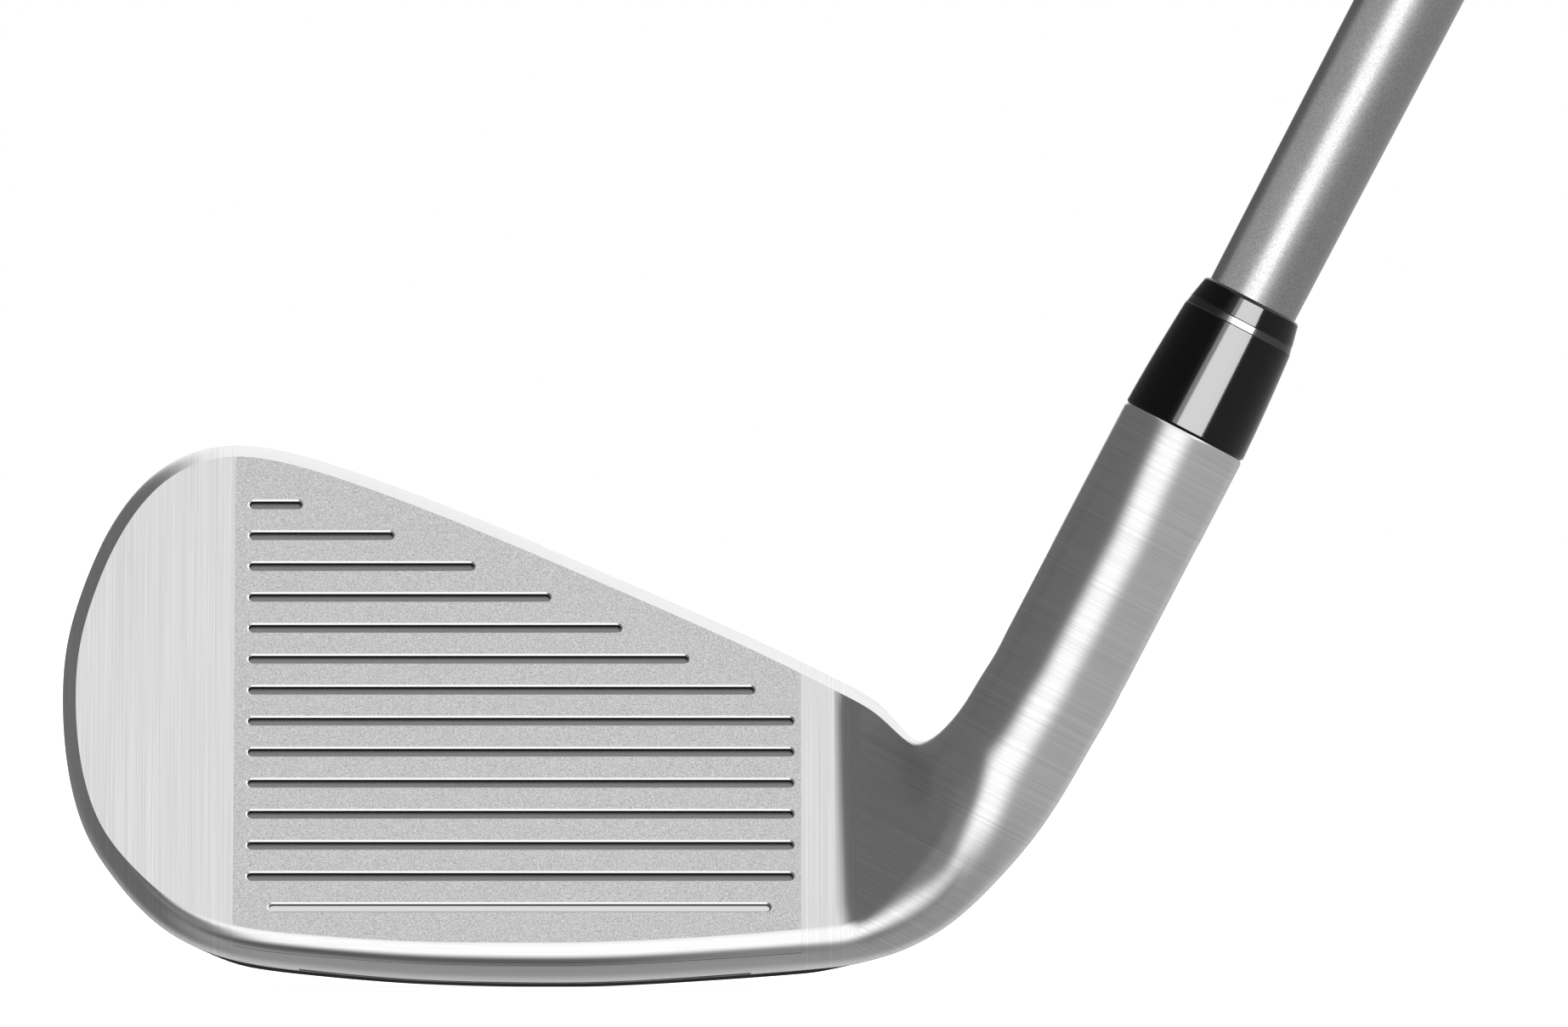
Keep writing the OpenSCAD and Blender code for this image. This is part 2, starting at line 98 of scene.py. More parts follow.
class Spline:
    """A natural cubic spline, with one unit of t from each point to the next."""

    RELAXING_TURNS = 40

    def __init__(self, points: Iterable[Sequence[float]]) -> None:
        """Finds the spline's second derivatives by relaxation.

        Args:
            points: The points that the curve passes through.
        """
        self.points = [Vector(p) for p in points]
        count = len(self.points)
        self.bends = [Vector((0.0, 0.0, 0.0)) for _ in range(count)]
        for _ in range(self.RELAXING_TURNS):
            for i in range(1, count - 1):
                curl = 6 * (self.points[i - 1] - 2 * self.points[i] + self.points[i + 1])
                self.bends[i] = (curl - self.bends[i - 1] - self.bends[i + 1]) / 4

    def _span(self, t: float) -> tuple[int, float]:
        """Returns the stretch that t lies on, and the share of it that is passed."""
        i = int(clamp(math.floor(t), 0, len(self.points) - 2))
        return i, t - i

    def at(self, t: float) -> Vector:
        """Returns the point at t."""
        i, f = self._span(t)
        g = 1 - f
        bend = (g ** 3 - g) * self.bends[i] + (f ** 3 - f) * self.bends[i + 1]
        return g * self.points[i] + f * self.points[i + 1] + bend / 6

    def slope(self, t: float) -> Vector:
        """Returns the direction and speed of the curve at t."""
        i, f = self._span(t)
        g = 1 - f
        bend = (1 - 3 * g * g) * self.bends[i] + (3 * f * f - 1) * self.bends[i + 1]
        return self.points[i + 1] - self.points[i] + bend / 6


# ---------------------------------------------------------------- how the club stands

@dataclass(frozen=True)
class Address:
    """The club's angles, and the lines that its head and shaft are built on, in mm."""

    loft: float = math.radians(31)
    lie: float = math.radians(62.5)
    lead_y: float = -12.0
    face_foot: float = 3.0
    axis_x: float = 35.3
    axis_behind_lead: float = 3.0

    @property
    def axis_y(self) -> float:
        """Where the shaft's axis lies from front to back."""
        return self.lead_y + self.axis_behind_lead

    def face_y(self, z: float) -> float:
        """Returns the face plane's place, front to back, at height z."""
        return self.lead_y + (z - self.face_foot) * math.tan(self.loft)

    @property
    def face_normal(self) -> Vector:
        """The direction in which the face looks."""
        return Vector((0, -math.cos(self.loft), math.sin(self.loft)))

    def face_distance(self, p: Vector) -> float:
        """Returns how far p lies in front of the face plane; it is negative behind it."""
        return (p - Vector((0, self.lead_y, self.face_foot))).dot(self.face_normal)

    @property
    def on_face(self) -> Matrix:
        """From the face's own frame, x along the score lines and z out of the face."""
        lean = Matrix.Rotation(math.pi / 2 - self.loft, 4, "X")
        return Matrix.Translation((0, self.lead_y, self.face_foot)) @ lean

    @property
    def on_shaft(self) -> Matrix:
        """From the shaft's own frame, z along its axis, with 0 where that meets the ground."""
        lean = Matrix.Rotation(math.pi / 2 - self.lie, 4, "Y")
        return Matrix.Translation((self.axis_x, self.axis_y, 0)) @ lean


ADDRESS = Address()


# ---------------------------------------------------------------- mesh helpers

def finish_mesh(bm: bmesh.types.BMesh, name: str, place: Matrix | None = None,
                crease: float = 30.0) -> bpy.types.Object:
    """Turns a bmesh in mm into a finished object in metres.

    Args:
        bm: The shape, in millimetres. It is freed.
        name: The piece's name.
        place: From the shape's own frame to the row frame, still in mm.
        crease: Edges that turn by more than this angle, in degrees, are drawn sharp.

    Returns:
        The new object, at the origin, with smooth shading.
    """
    bmesh.ops.transform(bm, matrix=Matrix.Scale(MM, 4) @ (place or Matrix.Identity(4)), verts=bm.verts)
    mesh = bpy.data.meshes.new(name)
    bm.to_mesh(mesh)
    bm.free()
    mesh.polygons.foreach_set("use_smooth", [True] * len(mesh.polygons))
    mesh.set_sharp_from_angle(angle=math.radians(crease))
    piece = bpy.data.objects.new(name, mesh)
    bpy.context.scene.collection.objects.link(piece)
    return piece


def turned(name: str, profile: Profile, steps: int = 128, closed: bool = True) -> bpy.types.Object:
    """Spins a profile round the shaft's axis.

    Args:
        name: The piece's name.
        profile: Pairs of radius and height along the shaft, in mm.
        steps: How many facets the turned surface has.
        closed: True if the profile is a ring, and False if it starts and ends on the axis.

    Returns:
        The turned piece.
    """
    bm = bmesh.new()
    verts = [bm.verts.new((r, 0, s)) for r, s in profile]
    for a, b in zip(verts, verts[1:] + ([verts[0]] if closed else [])):
        bm.edges.new((a, b))
    bmesh.ops.spin(bm, geom=bm.verts[:] + bm.edges[:], cent=(0, 0, 0), axis=(0, 0, 1),
                   angle=2 * math.pi, steps=steps, use_merge=True)
    bmesh.ops.remove_doubles(bm, verts=bm.verts, dist=1e-4)
    bmesh.ops.recalc_face_normals(bm, faces=bm.faces)
    return finish_mesh(bm, name, ADDRESS.on_shaft)


def loft(bm: bmesh.types.BMesh, rings: Sequence[Sequence[Vector]]) -> None:
    """Extrudes the first ring's edges from ring to ring.

    Args:
        bm: Takes the new faces.
        rings: Closed rings with the same number of points.
    """
    ring = [bm.verts.new(p) for p in rings[0]]
    edges = [bm.edges.new((ring[i], ring[(i + 1) % len(ring)])) for i in range(len(ring))]
    for points in rings[1:]:
        made = bmesh.ops.extrude_edge_only(bm, edges=edges)["geom"]
        fresh = {v for v in made if isinstance(v, bmesh.types.BMVert)}
        edges = [e for e in made if isinstance(e, bmesh.types.BMEdge) and set(e.verts) <= fresh]
        ring = [next(e.other_vert(v) for e in v.link_edges if e.other_vert(v) in fresh) for v in ring]
        for v, p in zip(ring, points):
            v.co = p


def cap_end(bm: bmesh.types.BMesh) -> None:
    """Closes every open loop of bm with one face, and points all faces outwards."""
    open_edges = [e for e in bm.edges if e.is_boundary]
    bmesh.ops.holes_fill(bm, edges=open_edges, sides=0)
    bmesh.ops.recalc_face_normals(bm, faces=bm.faces)


def prism(name: str, outline: Sequence[Sequence[float]], low: float, high: float,
          place: Matrix | None = None) -> bpy.types.Object:
    """Extrudes a flat outline into a closed solid.

    Args:
        name: The piece's name.
        outline: Points of the outline, in the xy plane of its own frame.
        low: Lowest z.
        high: Highest z.
        place: From that frame to the row frame.

    Returns:
        The solid.
    """
    bm = bmesh.new()
    base = bm.faces.new([bm.verts.new((p[0], p[1], low)) for p in outline])
    made = bmesh.ops.extrude_face_region(bm, geom=[base])["geom"]
    bmesh.ops.translate(bm, verts=[v for v in made if isinstance(v, bmesh.types.BMVert)],
                        vec=(0, 0, high - low))
    bmesh.ops.recalc_face_normals(bm, faces=bm.faces)
    return finish_mesh(bm, name, place)


OUTLINE_STEPS = 60
FROM_FRONT = Matrix(((1, 0, 0, 0), (0, 0, 1, 0), (0, 1, 0, 0), (0, 0, 0, 1)))


class Cut(Enum):
    """What a cutter does to a piece."""

    REMOVE = "DIFFERENCE"
    KEEP = "INTERSECT"


def carve(piece: bpy.types.Object, cut: Cut, cutter: bpy.types.Object) -> bpy.types.Object:
    """Cuts one solid with another, and applies the result to the first one's mesh.

    Args:
        piece: The solid that is cut.
        cut: Whether the cutter's inside is removed or kept.
        cutter: The other solid, which stays as it is.

    Returns:
        The piece.
    """
    step = piece.modifiers.new("cut", "BOOLEAN")
    step.operation = cut.value
    step.solver = "EXACT"
    step.object = cutter
    bpy.context.view_layer.update()
    done = bpy.data.meshes.new_from_object(piece.evaluated_get(bpy.context.evaluated_depsgraph_get()))
    piece.modifiers.clear()
    old, piece.data = piece.data, done
    bpy.data.meshes.remove(old)
    done.set_sharp_from_angle(angle=math.radians(30))
    return piece


def copy_of(piece: bpy.types.Object, name: str, shift: Vector | None = None) -> bpy.types.Object:
    """Returns a copy of a piece with its own mesh, moved by shift, in mm."""
    mesh = piece.data.copy()
    mesh.transform(Matrix.Translation((shift or Vector()) * MM))
    twin = bpy.data.objects.new(name, mesh)
    bpy.context.scene.collection.objects.link(twin)
    return twin


def discard(*pieces: bpy.types.Object) -> None:
    """Removes cutters that have done their work."""
    for piece in pieces:
        mesh = piece.data
        bpy.data.objects.remove(piece)
        bpy.data.meshes.remove(mesh)


# ---------------------------------------------------------------- finishes

# A noise's usual lowest and highest values, at which a pattern is darkest and lightest.
DARK_AT, LIGHT_AT = 0.3, 0.7


def linear(code: str) -> tuple[float, float, float, float]:
    """Returns an sRGB hex colour such as "#C0C0C0" as a linear colour with full alpha."""
    parts = [int(code[i:i + 2], 16) / 255 for i in (1, 3, 5)]
    return (*[c / 12.92 if c <= 0.04045 else ((c + 0.055) / 1.055) ** 2.4 for c in parts], 1.0)


def add_node(tree: bpy.types.NodeTree, kind: str, inputs: dict | None = None, **settings) -> bpy.types.Node:
    """Adds a node to a tree.

    Args:
        tree: The node tree.
        kind: The node's type without its "ShaderNode" prefix.
        inputs: A value, or an output socket to link, for each input by name or number.
        settings: Values for the node's own properties.

    Returns:
        The new node.
    """
    made = tree.nodes.new("ShaderNode" + kind)
    for key, value in settings.items():
        setattr(made, key, value)
    for key, value in (inputs or {}).items():
        if isinstance(value, bpy.types.NodeSocket):
            tree.links.new(value, made.inputs[key])
        else:
            made.inputs[key].default_value = value
    return made


def new_material(name: str) -> tuple[bpy.types.Material, bpy.types.NodeTree, bpy.types.Node]:
    """Returns a new material with its node tree and its Principled shader."""
    material = bpy.data.materials.new(name)
    material.use_nodes = True
    tree = material.node_tree
    return material, tree, tree.nodes["Principled BSDF"]


def per_mm(size: float) -> float:
    """Returns the texture scale at which one cell of a pattern is this many mm across."""
    return 1 / (size * MM)


def tinted(tree: bpy.types.NodeTree, code: str, spread: float,
           pattern: bpy.types.NodeSocket) -> bpy.types.NodeSocket:
    """Returns a hex colour that gets darker and lighter with a pattern.

    Args:
        tree: The node tree.
        code: The colour in the middle.
        spread: How far it goes to each side, as a share of itself.
        pattern: The noise that it follows.

    Returns:
        The colour's socket.
    """
    base = linear(code)[:3]
    low = (*[c * (1 - spread) for c in base], 1.0)
    high = (*[min(1.0, c * (1 + spread)) for c in base], 1.0)
    tone = add_node(tree, "MapRange", {
        "Value": pattern, "From Min": DARK_AT, "From Max": LIGHT_AT}).outputs[0]
    return add_node(tree, "Mix", {"Factor": tone, 6: low, 7: high}, data_type="RGBA").outputs[2]


def plug_in(tree: bpy.types.NodeTree, shader: bpy.types.Node, colour: bpy.types.NodeSocket,
            rough: bpy.types.NodeSocket, height: bpy.types.NodeSocket, relief: float) -> None:
    """Links a colour, a roughness and a bump that is "relief" mm high to a shader."""
    bump = add_node(tree, "Bump", {"Height": height, "Distance": relief * MM, "Strength": 1.0})
    tree.links.new(colour, shader.inputs["Base Color"])
    tree.links.new(rough, shader.inputs["Roughness"])
    tree.links.new(bump.outputs[0], shader.inputs["Normal"])


@dataclass(frozen=True)
class BrushedSteel:
    """Stainless steel drawn over an abrasive belt: fine scratches, all one way.

    The scratches show as thin lighter and darker lines that run along the belt's path, over a soft
    reflection. Their real spacing of about 0.05 mm is drawn two to three times as wide, so that it shows.
    """

    name: str
    colour: str = "#E2E2E2"
    roughness: float = 0.2
    turn: tuple[float, float, float] = (0, 0, 0)            # turns the row frame to the belt's own
    grain: tuple[float, float, float] = (0.13, 30, 30)      # how far the pattern goes on, each way
    shade: float = 0.05
    relief: float = 0.001

    def material(self) -> bpy.types.Material:
        """Builds the material."""
        material, tree, shader = new_material(self.name)
        place = add_node(tree, "TexCoord").outputs["Object"]
        turned_place = add_node(tree, "Mapping", {"Vector": place, "Rotation": self.turn}).outputs[0]
        stretched = add_node(tree, "Mapping", {
            "Vector": turned_place, "Scale": tuple(per_mm(size) for size in self.grain)}).outputs[0]
        lines = add_node(tree, "TexNoise", {
            "Vector": stretched, "Scale": 1.0, "Detail": 3.0, "Roughness": 0.7})
        broad = add_node(tree, "Mapping", {
            "Vector": turned_place, "Scale": tuple(per_mm(size * 6) for size in self.grain)}).outputs[0]
        bands = add_node(tree, "TexNoise", {"Vector": broad, "Scale": 1.0, "Detail": 2.0})
        both = add_node(tree, "Mix", {"Factor": 0.15, 2: lines.outputs[0], 3: bands.outputs[0]},
                        data_type="FLOAT").outputs[0]
        colour = tinted(tree, self.colour, 2.4 * self.shade, both)
        rough = add_node(tree, "MapRange", {
            "Value": both, "From Min": 0.25, "From Max": 0.75,
            "To Min": self.roughness * 1.25, "To Max": self.roughness * 0.8}).outputs[0]
        plug_in(tree, shader, colour, rough, both, self.relief)
        shader.inputs["Metallic"].default_value = 1.0
        return material


@dataclass(frozen=True)
class GrainySurface:
    """A surface with an even grain: blasted steel, moulded rubber or plastic, cast or sintered metal.

    The grain shows as a fine, soft speckle without any direction.
    """

    name: str
    colour: str
    metallic: float = 0.0
    roughness: float = 0.5
    grain: float = 0.3
    shade: float = 0.05
    relief: float = 0.004
    coat: float = 0.0
    coat_roughness: float = 0.05
    specular: float = 0.5

    def material(self) -> bpy.types.Material:
        """Builds the material."""
        material, tree, shader = new_material(self.name)
        place = add_node(tree, "TexCoord").outputs["Object"]
        speckle = add_node(tree, "TexNoise", {
            "Vector": place, "Scale": per_mm(self.grain), "Detail": 2.0, "Roughness": 0.6}).outputs[0]
        patches = add_node(tree, "TexNoise", {
            "Vector": place, "Scale": per_mm(self.grain * 30), "Detail": 3.0}).outputs[0]
        both = add_node(tree, "Mix", {"Factor": 0.08, 2: speckle, 3: patches}, data_type="FLOAT").outputs[0]
        colour = tinted(tree, self.colour, 2.5 * self.shade, both)
        rough = add_node(tree, "MapRange", {
            "Value": patches, "From Min": DARK_AT, "From Max": LIGHT_AT,
            "To Min": self.roughness * 0.92, "To Max": min(1.0, self.roughness * 1.08)}).outputs[0]
        plug_in(tree, shader, colour, rough, speckle, self.relief)
        shader.inputs["Metallic"].default_value = self.metallic
        shader.inputs["Specular IOR Level"].default_value = self.specular
        shader.inputs["Coat Weight"].default_value = self.coat
        shader.inputs["Coat Roughness"].default_value = self.coat_roughness
        return material


ALONG_SOLE = (14, 0.3, 0.3)

FACE_BRUSHED = BrushedSteel("stainless_steel_face_brushed")
TOPLINE_SATIN = BrushedSteel("stainless_steel_topline_satin", grain=ALONG_SOLE, shade=0.012, roughness=0.17)
NECK_BRUSHED = BrushedSteel("stainless_steel_neck_brushed", turn=(0, ADDRESS.lie, 0), relief=0.0004,
                            grain=(0.11, 40, 40), shade=0.06)
BODY_SATIN = BrushedSteel("cast_stainless_steel_satin", grain=ALONG_SOLE, shade=0.02, roughness=0.24)
PLATE_BLASTED = GrainySurface("stainless_steel_media_blasted", "#D5D5D5", metallic=1.0, roughness=0.42,
                              grain=0.15, shade=0.13)
# The groove floor's darker grey, #8A8A8A against the plate's #D5D5D5, is painted shade inside the score
# lines.
GROOVE_FLOOR_PAINTED_SHADE = GrainySurface("stainless_steel_groove_floor_painted_shade", "#8A8A8A", metallic=1.0, roughness=0.35,
                              grain=0.2, shade=0.03)
# The groove wall's near-black colour is painted shade on the steep walls inside the score lines.
GROOVE_WALL_PAINTED_SHADE = GrainySurface("stainless_steel_groove_wall_painted_shade", "#3C3C3C", metallic=1.0,
                            roughness=0.3, grain=0.2, shade=0.03)
BAR_PLATED = GrainySurface("black_plated_steel_bar", "#1B1B1D", metallic=0.6, roughness=0.38, grain=0.25)
ELASTOMER = GrainySurface("polyurethane_elastomer_black", "#151516", roughness=0.6, grain=0.4)
CAP_POLYMER = GrainySurface("filled_nylon_moulded_black", "#232326", roughness=0.5, grain=0.35, relief=0.01)
TUNGSTEN = GrainySurface("sintered_tungsten", "#6F6F70", metallic=1.0, roughness=0.55, grain=0.3)
FOAM_TAPE = GrainySurface("acrylic_foam_tape", "#2E2E2E", roughness=0.85, grain=0.5)
EPOXY = GrainySurface("cured_epoxy_amber", "#C9A65C", roughness=0.2, grain=1.2, coat=0.5)
BRASS = GrainySurface("turned_brass", "#C9A55A", metallic=1.0, roughness=0.3, grain=0.3)
PLUG_FOAM = GrainySurface("foam_plug_white", "#E4E0D4", roughness=0.9, grain=0.6)
BADGE_NICKEL = BrushedSteel("electroformed_nickel_badge_satin", colour="#B9B8B4", grain=ALONG_SOLE)
FERRULE_GLOSS = GrainySurface("cellulose_acetate_ferrule_gloss", "#040404", roughness=0.1,
                              specular=0.4, grain=2.0, shade=0.01, relief=0.0)
FERRULE_METAL = GrainySurface("ferrule_trim_ring_smoked_chrome", "#5A5A5A", metallic=1.0,
                              roughness=0.14, grain=0.3, shade=0.02, relief=0.0005)
SHAFT_PAINT = GrainySurface("silver_metallic_paint_clear_coated", "#A6A6A6", metallic=0.9,
                            roughness=0.33, grain=0.16, shade=0.1, coat=0.25, coat_roughness=0.1)
GRIP_TAPE = GrainySurface("crepe_paper_tape", "#CDB98F", roughness=0.85, grain=0.5)
GRIP_RUBBER = GrainySurface("moulded_natural_rubber_black", "#1A1A1B", roughness=0.72, grain=0.35,
                            relief=0.02)
CAP_RUBBER = GrainySurface("moulded_hard_rubber_black", "#161617", roughness=0.55, grain=0.5, relief=0.01)
STAGE_WHITE = "#FFFFFF"


class Finishes:
    """Makes each finish's material once, when it is first asked for."""

    def __init__(self) -> None:
        """Starts with none made."""
        self._made: dict[str, bpy.types.Material] = {}

    def of(self, finish: BrushedSteel | GrainySurface) -> bpy.types.Material:
        """Returns the material of a finish."""
        if finish.name not in self._made:
            self._made[finish.name] = finish.material()
        return self._made[finish.name]


FINISHES = Finishes()


def dress(piece: bpy.types.Object, slot: str, nodes: Sequence[str],
          *finishes: BrushedSteel | GrainySurface) -> bpy.types.Object:
    """Gives a new piece its finishes, and says which CAD nodes it stands for.

    Args:
        piece: The finished piece.
        slot: The record's material slot; it is not used.
        nodes: The CAD nodes that it replaces.
        finishes: One finish for each material index of the mesh.

    Returns:
        The piece.
    """
    for finish in finishes:
        piece.data.materials.append(FINISHES.of(finish))
    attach(piece, BODY)
    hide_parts(*nodes)
    LOG.info("%s stands for %s", piece.name, ", ".join(nodes))
    return piece


def dress_node(name: str, finish: BrushedSteel | GrainySurface) -> None:
    """Gives a CAD node that stays in the scene its finish."""
    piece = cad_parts[name]
    piece.data.materials.clear()
    piece.data.materials.append(FINISHES.of(finish))
    LOG.info("%s keeps its own shape", name)


# ---------------------------------------------------------------- head

@dataclass
class HeadSkin:
    """The head's outer skin, lofted from the toe tip to the hosel. All sizes are in mm.

    Each row of the outline is x, z and the width of the strip between the outline and the flat face.
    A station u runs from the toe tip, 0, to the hosel: +u is on the top side and -u under the sole.
    """

    toe_tip: tuple[float, float, float] = (-47.8, 29, 1.4)
    top_side: tuple[tuple[float, float, float], ...] = (
        (-47.3, 34.6, 1.35), (-45.7, 40.1, 1.3), (-43, 46, 1.3), (-38.5, 51.35, 1.25),
        (-31.8, 53.95, 1.1), (-23.5, 52.85, 1.1), (-14, 49.65, 1.08), (-4, 45.7, 1.08),
        (6, 41.45, 1.08), (15.5, 37.3, 1.08), (23.5, 33.65, 1.08), (29.8, 30.55, 1.1),
        (33.7, 28.35, 1.1), (36.1, 25.85, 1), (37.9, 24.6, 0.9), (39.9, 25.55, 0.8),
        (42.1, 28.1, 0.8), (43.7, 30.7, 0.8), (45.2, 33.1, 0.8), (46.4, 35.4, 0.8))
    sole_side: tuple[tuple[float, float, float], ...] = (
        (-47.35, 22.4, 1.5), (-45.7, 16, 1.8), (-42.6, 10.85, 2.3), (-37.7, 5.85, 3),
        (-31, 2.75, 3.5), (-23, 1.5, 3.75), (-13.5, 0.7, 3.95), (-4, 0.38, 4.12),
        (5.5, 0.38, 4.18), (14.5, 0.8, 4.15), (22.5, 1.35, 4.15), (30, 2.05, 4.2),
        (36, 3.4, 4.2), (41, 6.15, 4.2), (45, 9.9, 4), (48.6, 14.1, 4),
        (51.8, 18.7, 4), (54.6, 23.5, 4), (56.7, 27.1, 4), (57.9, 29.4, 4))
    # Edge profiles from face to back: share of the strip, then of the depth; past the fourth, in mm.
    toe_edge: tuple = ((1, 0), (0.62, 0.17), (0.24, 0.36), (0, 0.55), (0, 0.78), (0.3, 0.96), (1.8, 1))
    top_edge: tuple = ((1, 0), (0.66, 0.13), (0.12, 0.28), (0, 0.48), (0, 0.67), (0.5, 0.93), (2, 1))
    sole_edge: tuple = ((1, 0), (0.68, 0), (0, 0.18), (0, 0.5), (0, 1.05), (2, 1.22), (8.5, 1))
    topline_t: float = 6.0                              # thickness at the top line
    flare_t: float = 12.0                               # and how much it grows by the sole,
    flare_z: tuple[float, float] = (44.0, 9.5)          # between these heights
    crotch: float = 13.5                                # station where top line and hosel meet
    neck: tuple[float, float] = (12.0, 16.6)
    neck_rounding: tuple[float, float] = (0.1, 0.5)
    # Where the edges of the blade run out on the round neck, in degrees from its front: leading
    # edge, front of the top line, its back, back of the sole, and the leading edge again.
    ring_corners: tuple[float, ...] = (2, 65, 135, 225, 362)
    heel: tuple[float, float] = (11.0, 14.5)
    heel_thin: float = 0.35
    hosel_d: float = 13.0
    last: int = field(init=False)
    rim_line: Spline = field(init=False)

    def __post_init__(self) -> None:
        """Draws the outline through its points."""
        self.last = len(self.top_side)
        self.rim_line = Spline([*reversed(self.sole_side), self.toe_tip, *self.top_side])

    def rim(self, t: float) -> Vector:
        """Returns x, z and the strip's width on the outline at t."""
        return self.rim_line.at(self.last + t)

    def inset(self, t: float, by: float) -> Vector:
        """Returns x and z at t, moved into the outline by "by"."""
        slope = self.rim_line.slope(self.last + t)
        p = self.rim(t)
        length = math.hypot(slope.x, slope.y)
        return Vector((p.x + by * slope.y / length, p.y - by * slope.x / length))

    def depth(self, z: float) -> float:
        """Returns the head's level thickness at height z."""
        start, end = self.flare_z
        return self.topline_t + self.flare_t * clamp((start - z) / (start - end)) ** 1.3

    def back_y(self, z: float) -> float:
        """Returns the back's place, front to back, at height z."""
        return ADDRESS.face_y(z) + self.depth(z)

    def seen_z(self, u: float, z: float) -> float:
        """Returns the height that the face and back see: past the crotch it stays as it is there."""
        if u <= self.crotch - 1:
            return z
        stop = u - (u - self.crotch + 1) ** 2 / 4 if u < self.crotch + 1 else self.crotch
        a, b = self.rim(-u).y, self.rim(u).y
        share = clamp((z - a) / max(b - a, 1))
        return mix(self.rim(-stop).y, self.rim(stop).y, share)

    def edge_points(self, side: int, u: float, steps: int) -> list[Vector]:
        """Returns the points of the rounded edge at station u, from the face to the back."""
        other, start, run = (self.top_edge, 0.5, 4.5) if side > 0 else (self.sole_edge, 0.3, 3.7)
        share = ease((u - start) / run)
        e = [mix(Vector(a), Vector(b), share) for a, b in zip(self.toe_edge, other)]
        strip = self.rim(side * u).z
        front = [Vector((e[i].x * strip, e[i].y)) for i in range(4)]
        back = [front[3], e[4], e[5], e[6]]
        last = self.inset(side * u, e[6].x)
        thin = 1 - self.heel_thin * ease((u - self.heel[0]) / (self.heel[1] - self.heel[0]))
        d = self.depth(self.seen_z(u, last.y)) * thin
        out = []
        for i in range(2 * steps + 1):
            q = bezier(front, i / steps) if i <= steps else bezier(back, (i - steps) / steps)
            p = self.inset(side * u, q.x)
            out.append(Vector((p.x, ADDRESS.face_y(self.seen_z(u, p.y)) + q.y * d, p.y)))
        return out

    def back_span(self, u: float, a: Vector, b: Vector, count: int) -> list[Vector]:
        """Returns points across the back from a to b, which keep the curve of the back."""
        out = []
        for i in range(1, count + 1):
            share = i / (count + 1)
            p = mix(a, b, share)
            ends = mix(self.back_y(self.seen_z(u, a.z)), self.back_y(self.seen_z(u, b.z)), share)
            out.append(Vector((p.x, p.y + self.back_y(self.seen_z(u, p.z)) - ends, p.z)))
        return out

    def section(self, u: float, steps: int, span: int) -> list[Vector]:
        """Returns the closed section at station u: up the face, over, down the back and under."""
        top, low = self.edge_points(1, u, steps), self.edge_points(-1, u, steps)
        blade = [mix(low[0], top[0], i / (span + 1)) for i in range(1, span + 1)] + top
        blade += self.back_span(u, top[-1], low[-1], span) + low[::-1]
        w = ramp((u - self.neck[0]) / (self.neck[1] - self.neck[0]), *self.neck_rounding)
        if w == 0:
            return blade
        a, b = self.rim(-u), self.rim(u)
        ring = []
        for t in self.turns(steps, span):
            share = 0.5 + 0.5 * math.sin(t)
            ring.append(Vector((mix(a.x, b.x, share), ADDRESS.axis_y - self.hosel_d / 2 * math.cos(t),
                                mix(a.y, b.y, share))))
        return [mix(p, q, w) for p, q in zip(blade, ring)]

    def turns(self, steps: int, span: int) -> list[float]:
        """Returns the angle round the neck of each point of a section."""
        low, top, back, under, end = (math.radians(a) for a in self.ring_corners)
        out = [mix(low, top, i / (span + 1)) for i in range(1, span + 1)]
        out += [mix(top, back, i / (2 * steps)) for i in range(2 * steps + 1)]
        out += [mix(back, under, i / (span + 1)) for i in range(1, span + 1)]
        out += [mix(under, end, i / (2 * steps)) for i in range(2 * steps + 1)]
        return out

    def build(self, steps: int, span: int, per_station: int) -> bmesh.types.BMesh:
        """Lofts the whole skin, closed at both ends.

        Args:
            steps: Facets along each half of an edge profile.
            span: Points across the face and across the back.
            per_station: Sections from each station to the next.

        Returns:
            The closed skin, in mm.
        """
        bm = bmesh.new()
        stations = [0.0, 0.03, 0.08] + [i / per_station for i in range(1, self.last * per_station + 1)]
        loft(bm, [self.section(u, steps, span) for u in stations])
        return bm


@dataclass
class Hosel:
    """The turned end of the neck, in mm."""

    start_s: float = 37.4
    top_s: float = 62.4
    edge: float = 0.35
    bore_r: float = 4.8
    bore_depth: float = 6.0

    def extend(self, bm: bmesh.types.BMesh, skin: HeadSkin, steps: int, span: int) -> None:
        """Grows the neck's open end into a straight hosel with a chamfered top and a bore."""
        r = skin.hosel_d / 2
        rows = [(r, self.start_s), (r, mix(self.start_s, self.top_s, 0.5)), (r, self.top_s - self.edge),
                (r - self.edge / 2, self.top_s), (self.bore_r, self.top_s),
                (self.bore_r, self.top_s - self.bore_depth)]
        place = ADDRESS.on_shaft
        neck_end = skin.section(skin.last, steps, span)
        ring_edges = [e for e in bm.edges if e.is_boundary and
                      min((e.verts[0].co - p).length for p in neck_end) < 1e-6]
        for radius, s in rows:
            made = bmesh.ops.extrude_edge_only(bm, edges=ring_edges)["geom"]
            fresh = [v for v in made if isinstance(v, bmesh.types.BMVert)]
            ring_edges = [e for e in made if isinstance(e, bmesh.types.BMEdge)
                          and all(v in fresh for v in e.verts)]
            for v in fresh:
                local = place.inverted() @ v.co
                out = Vector((local.x, local.y)).normalized() * radius
                v.co = place @ Vector((out.x, out.y, s))


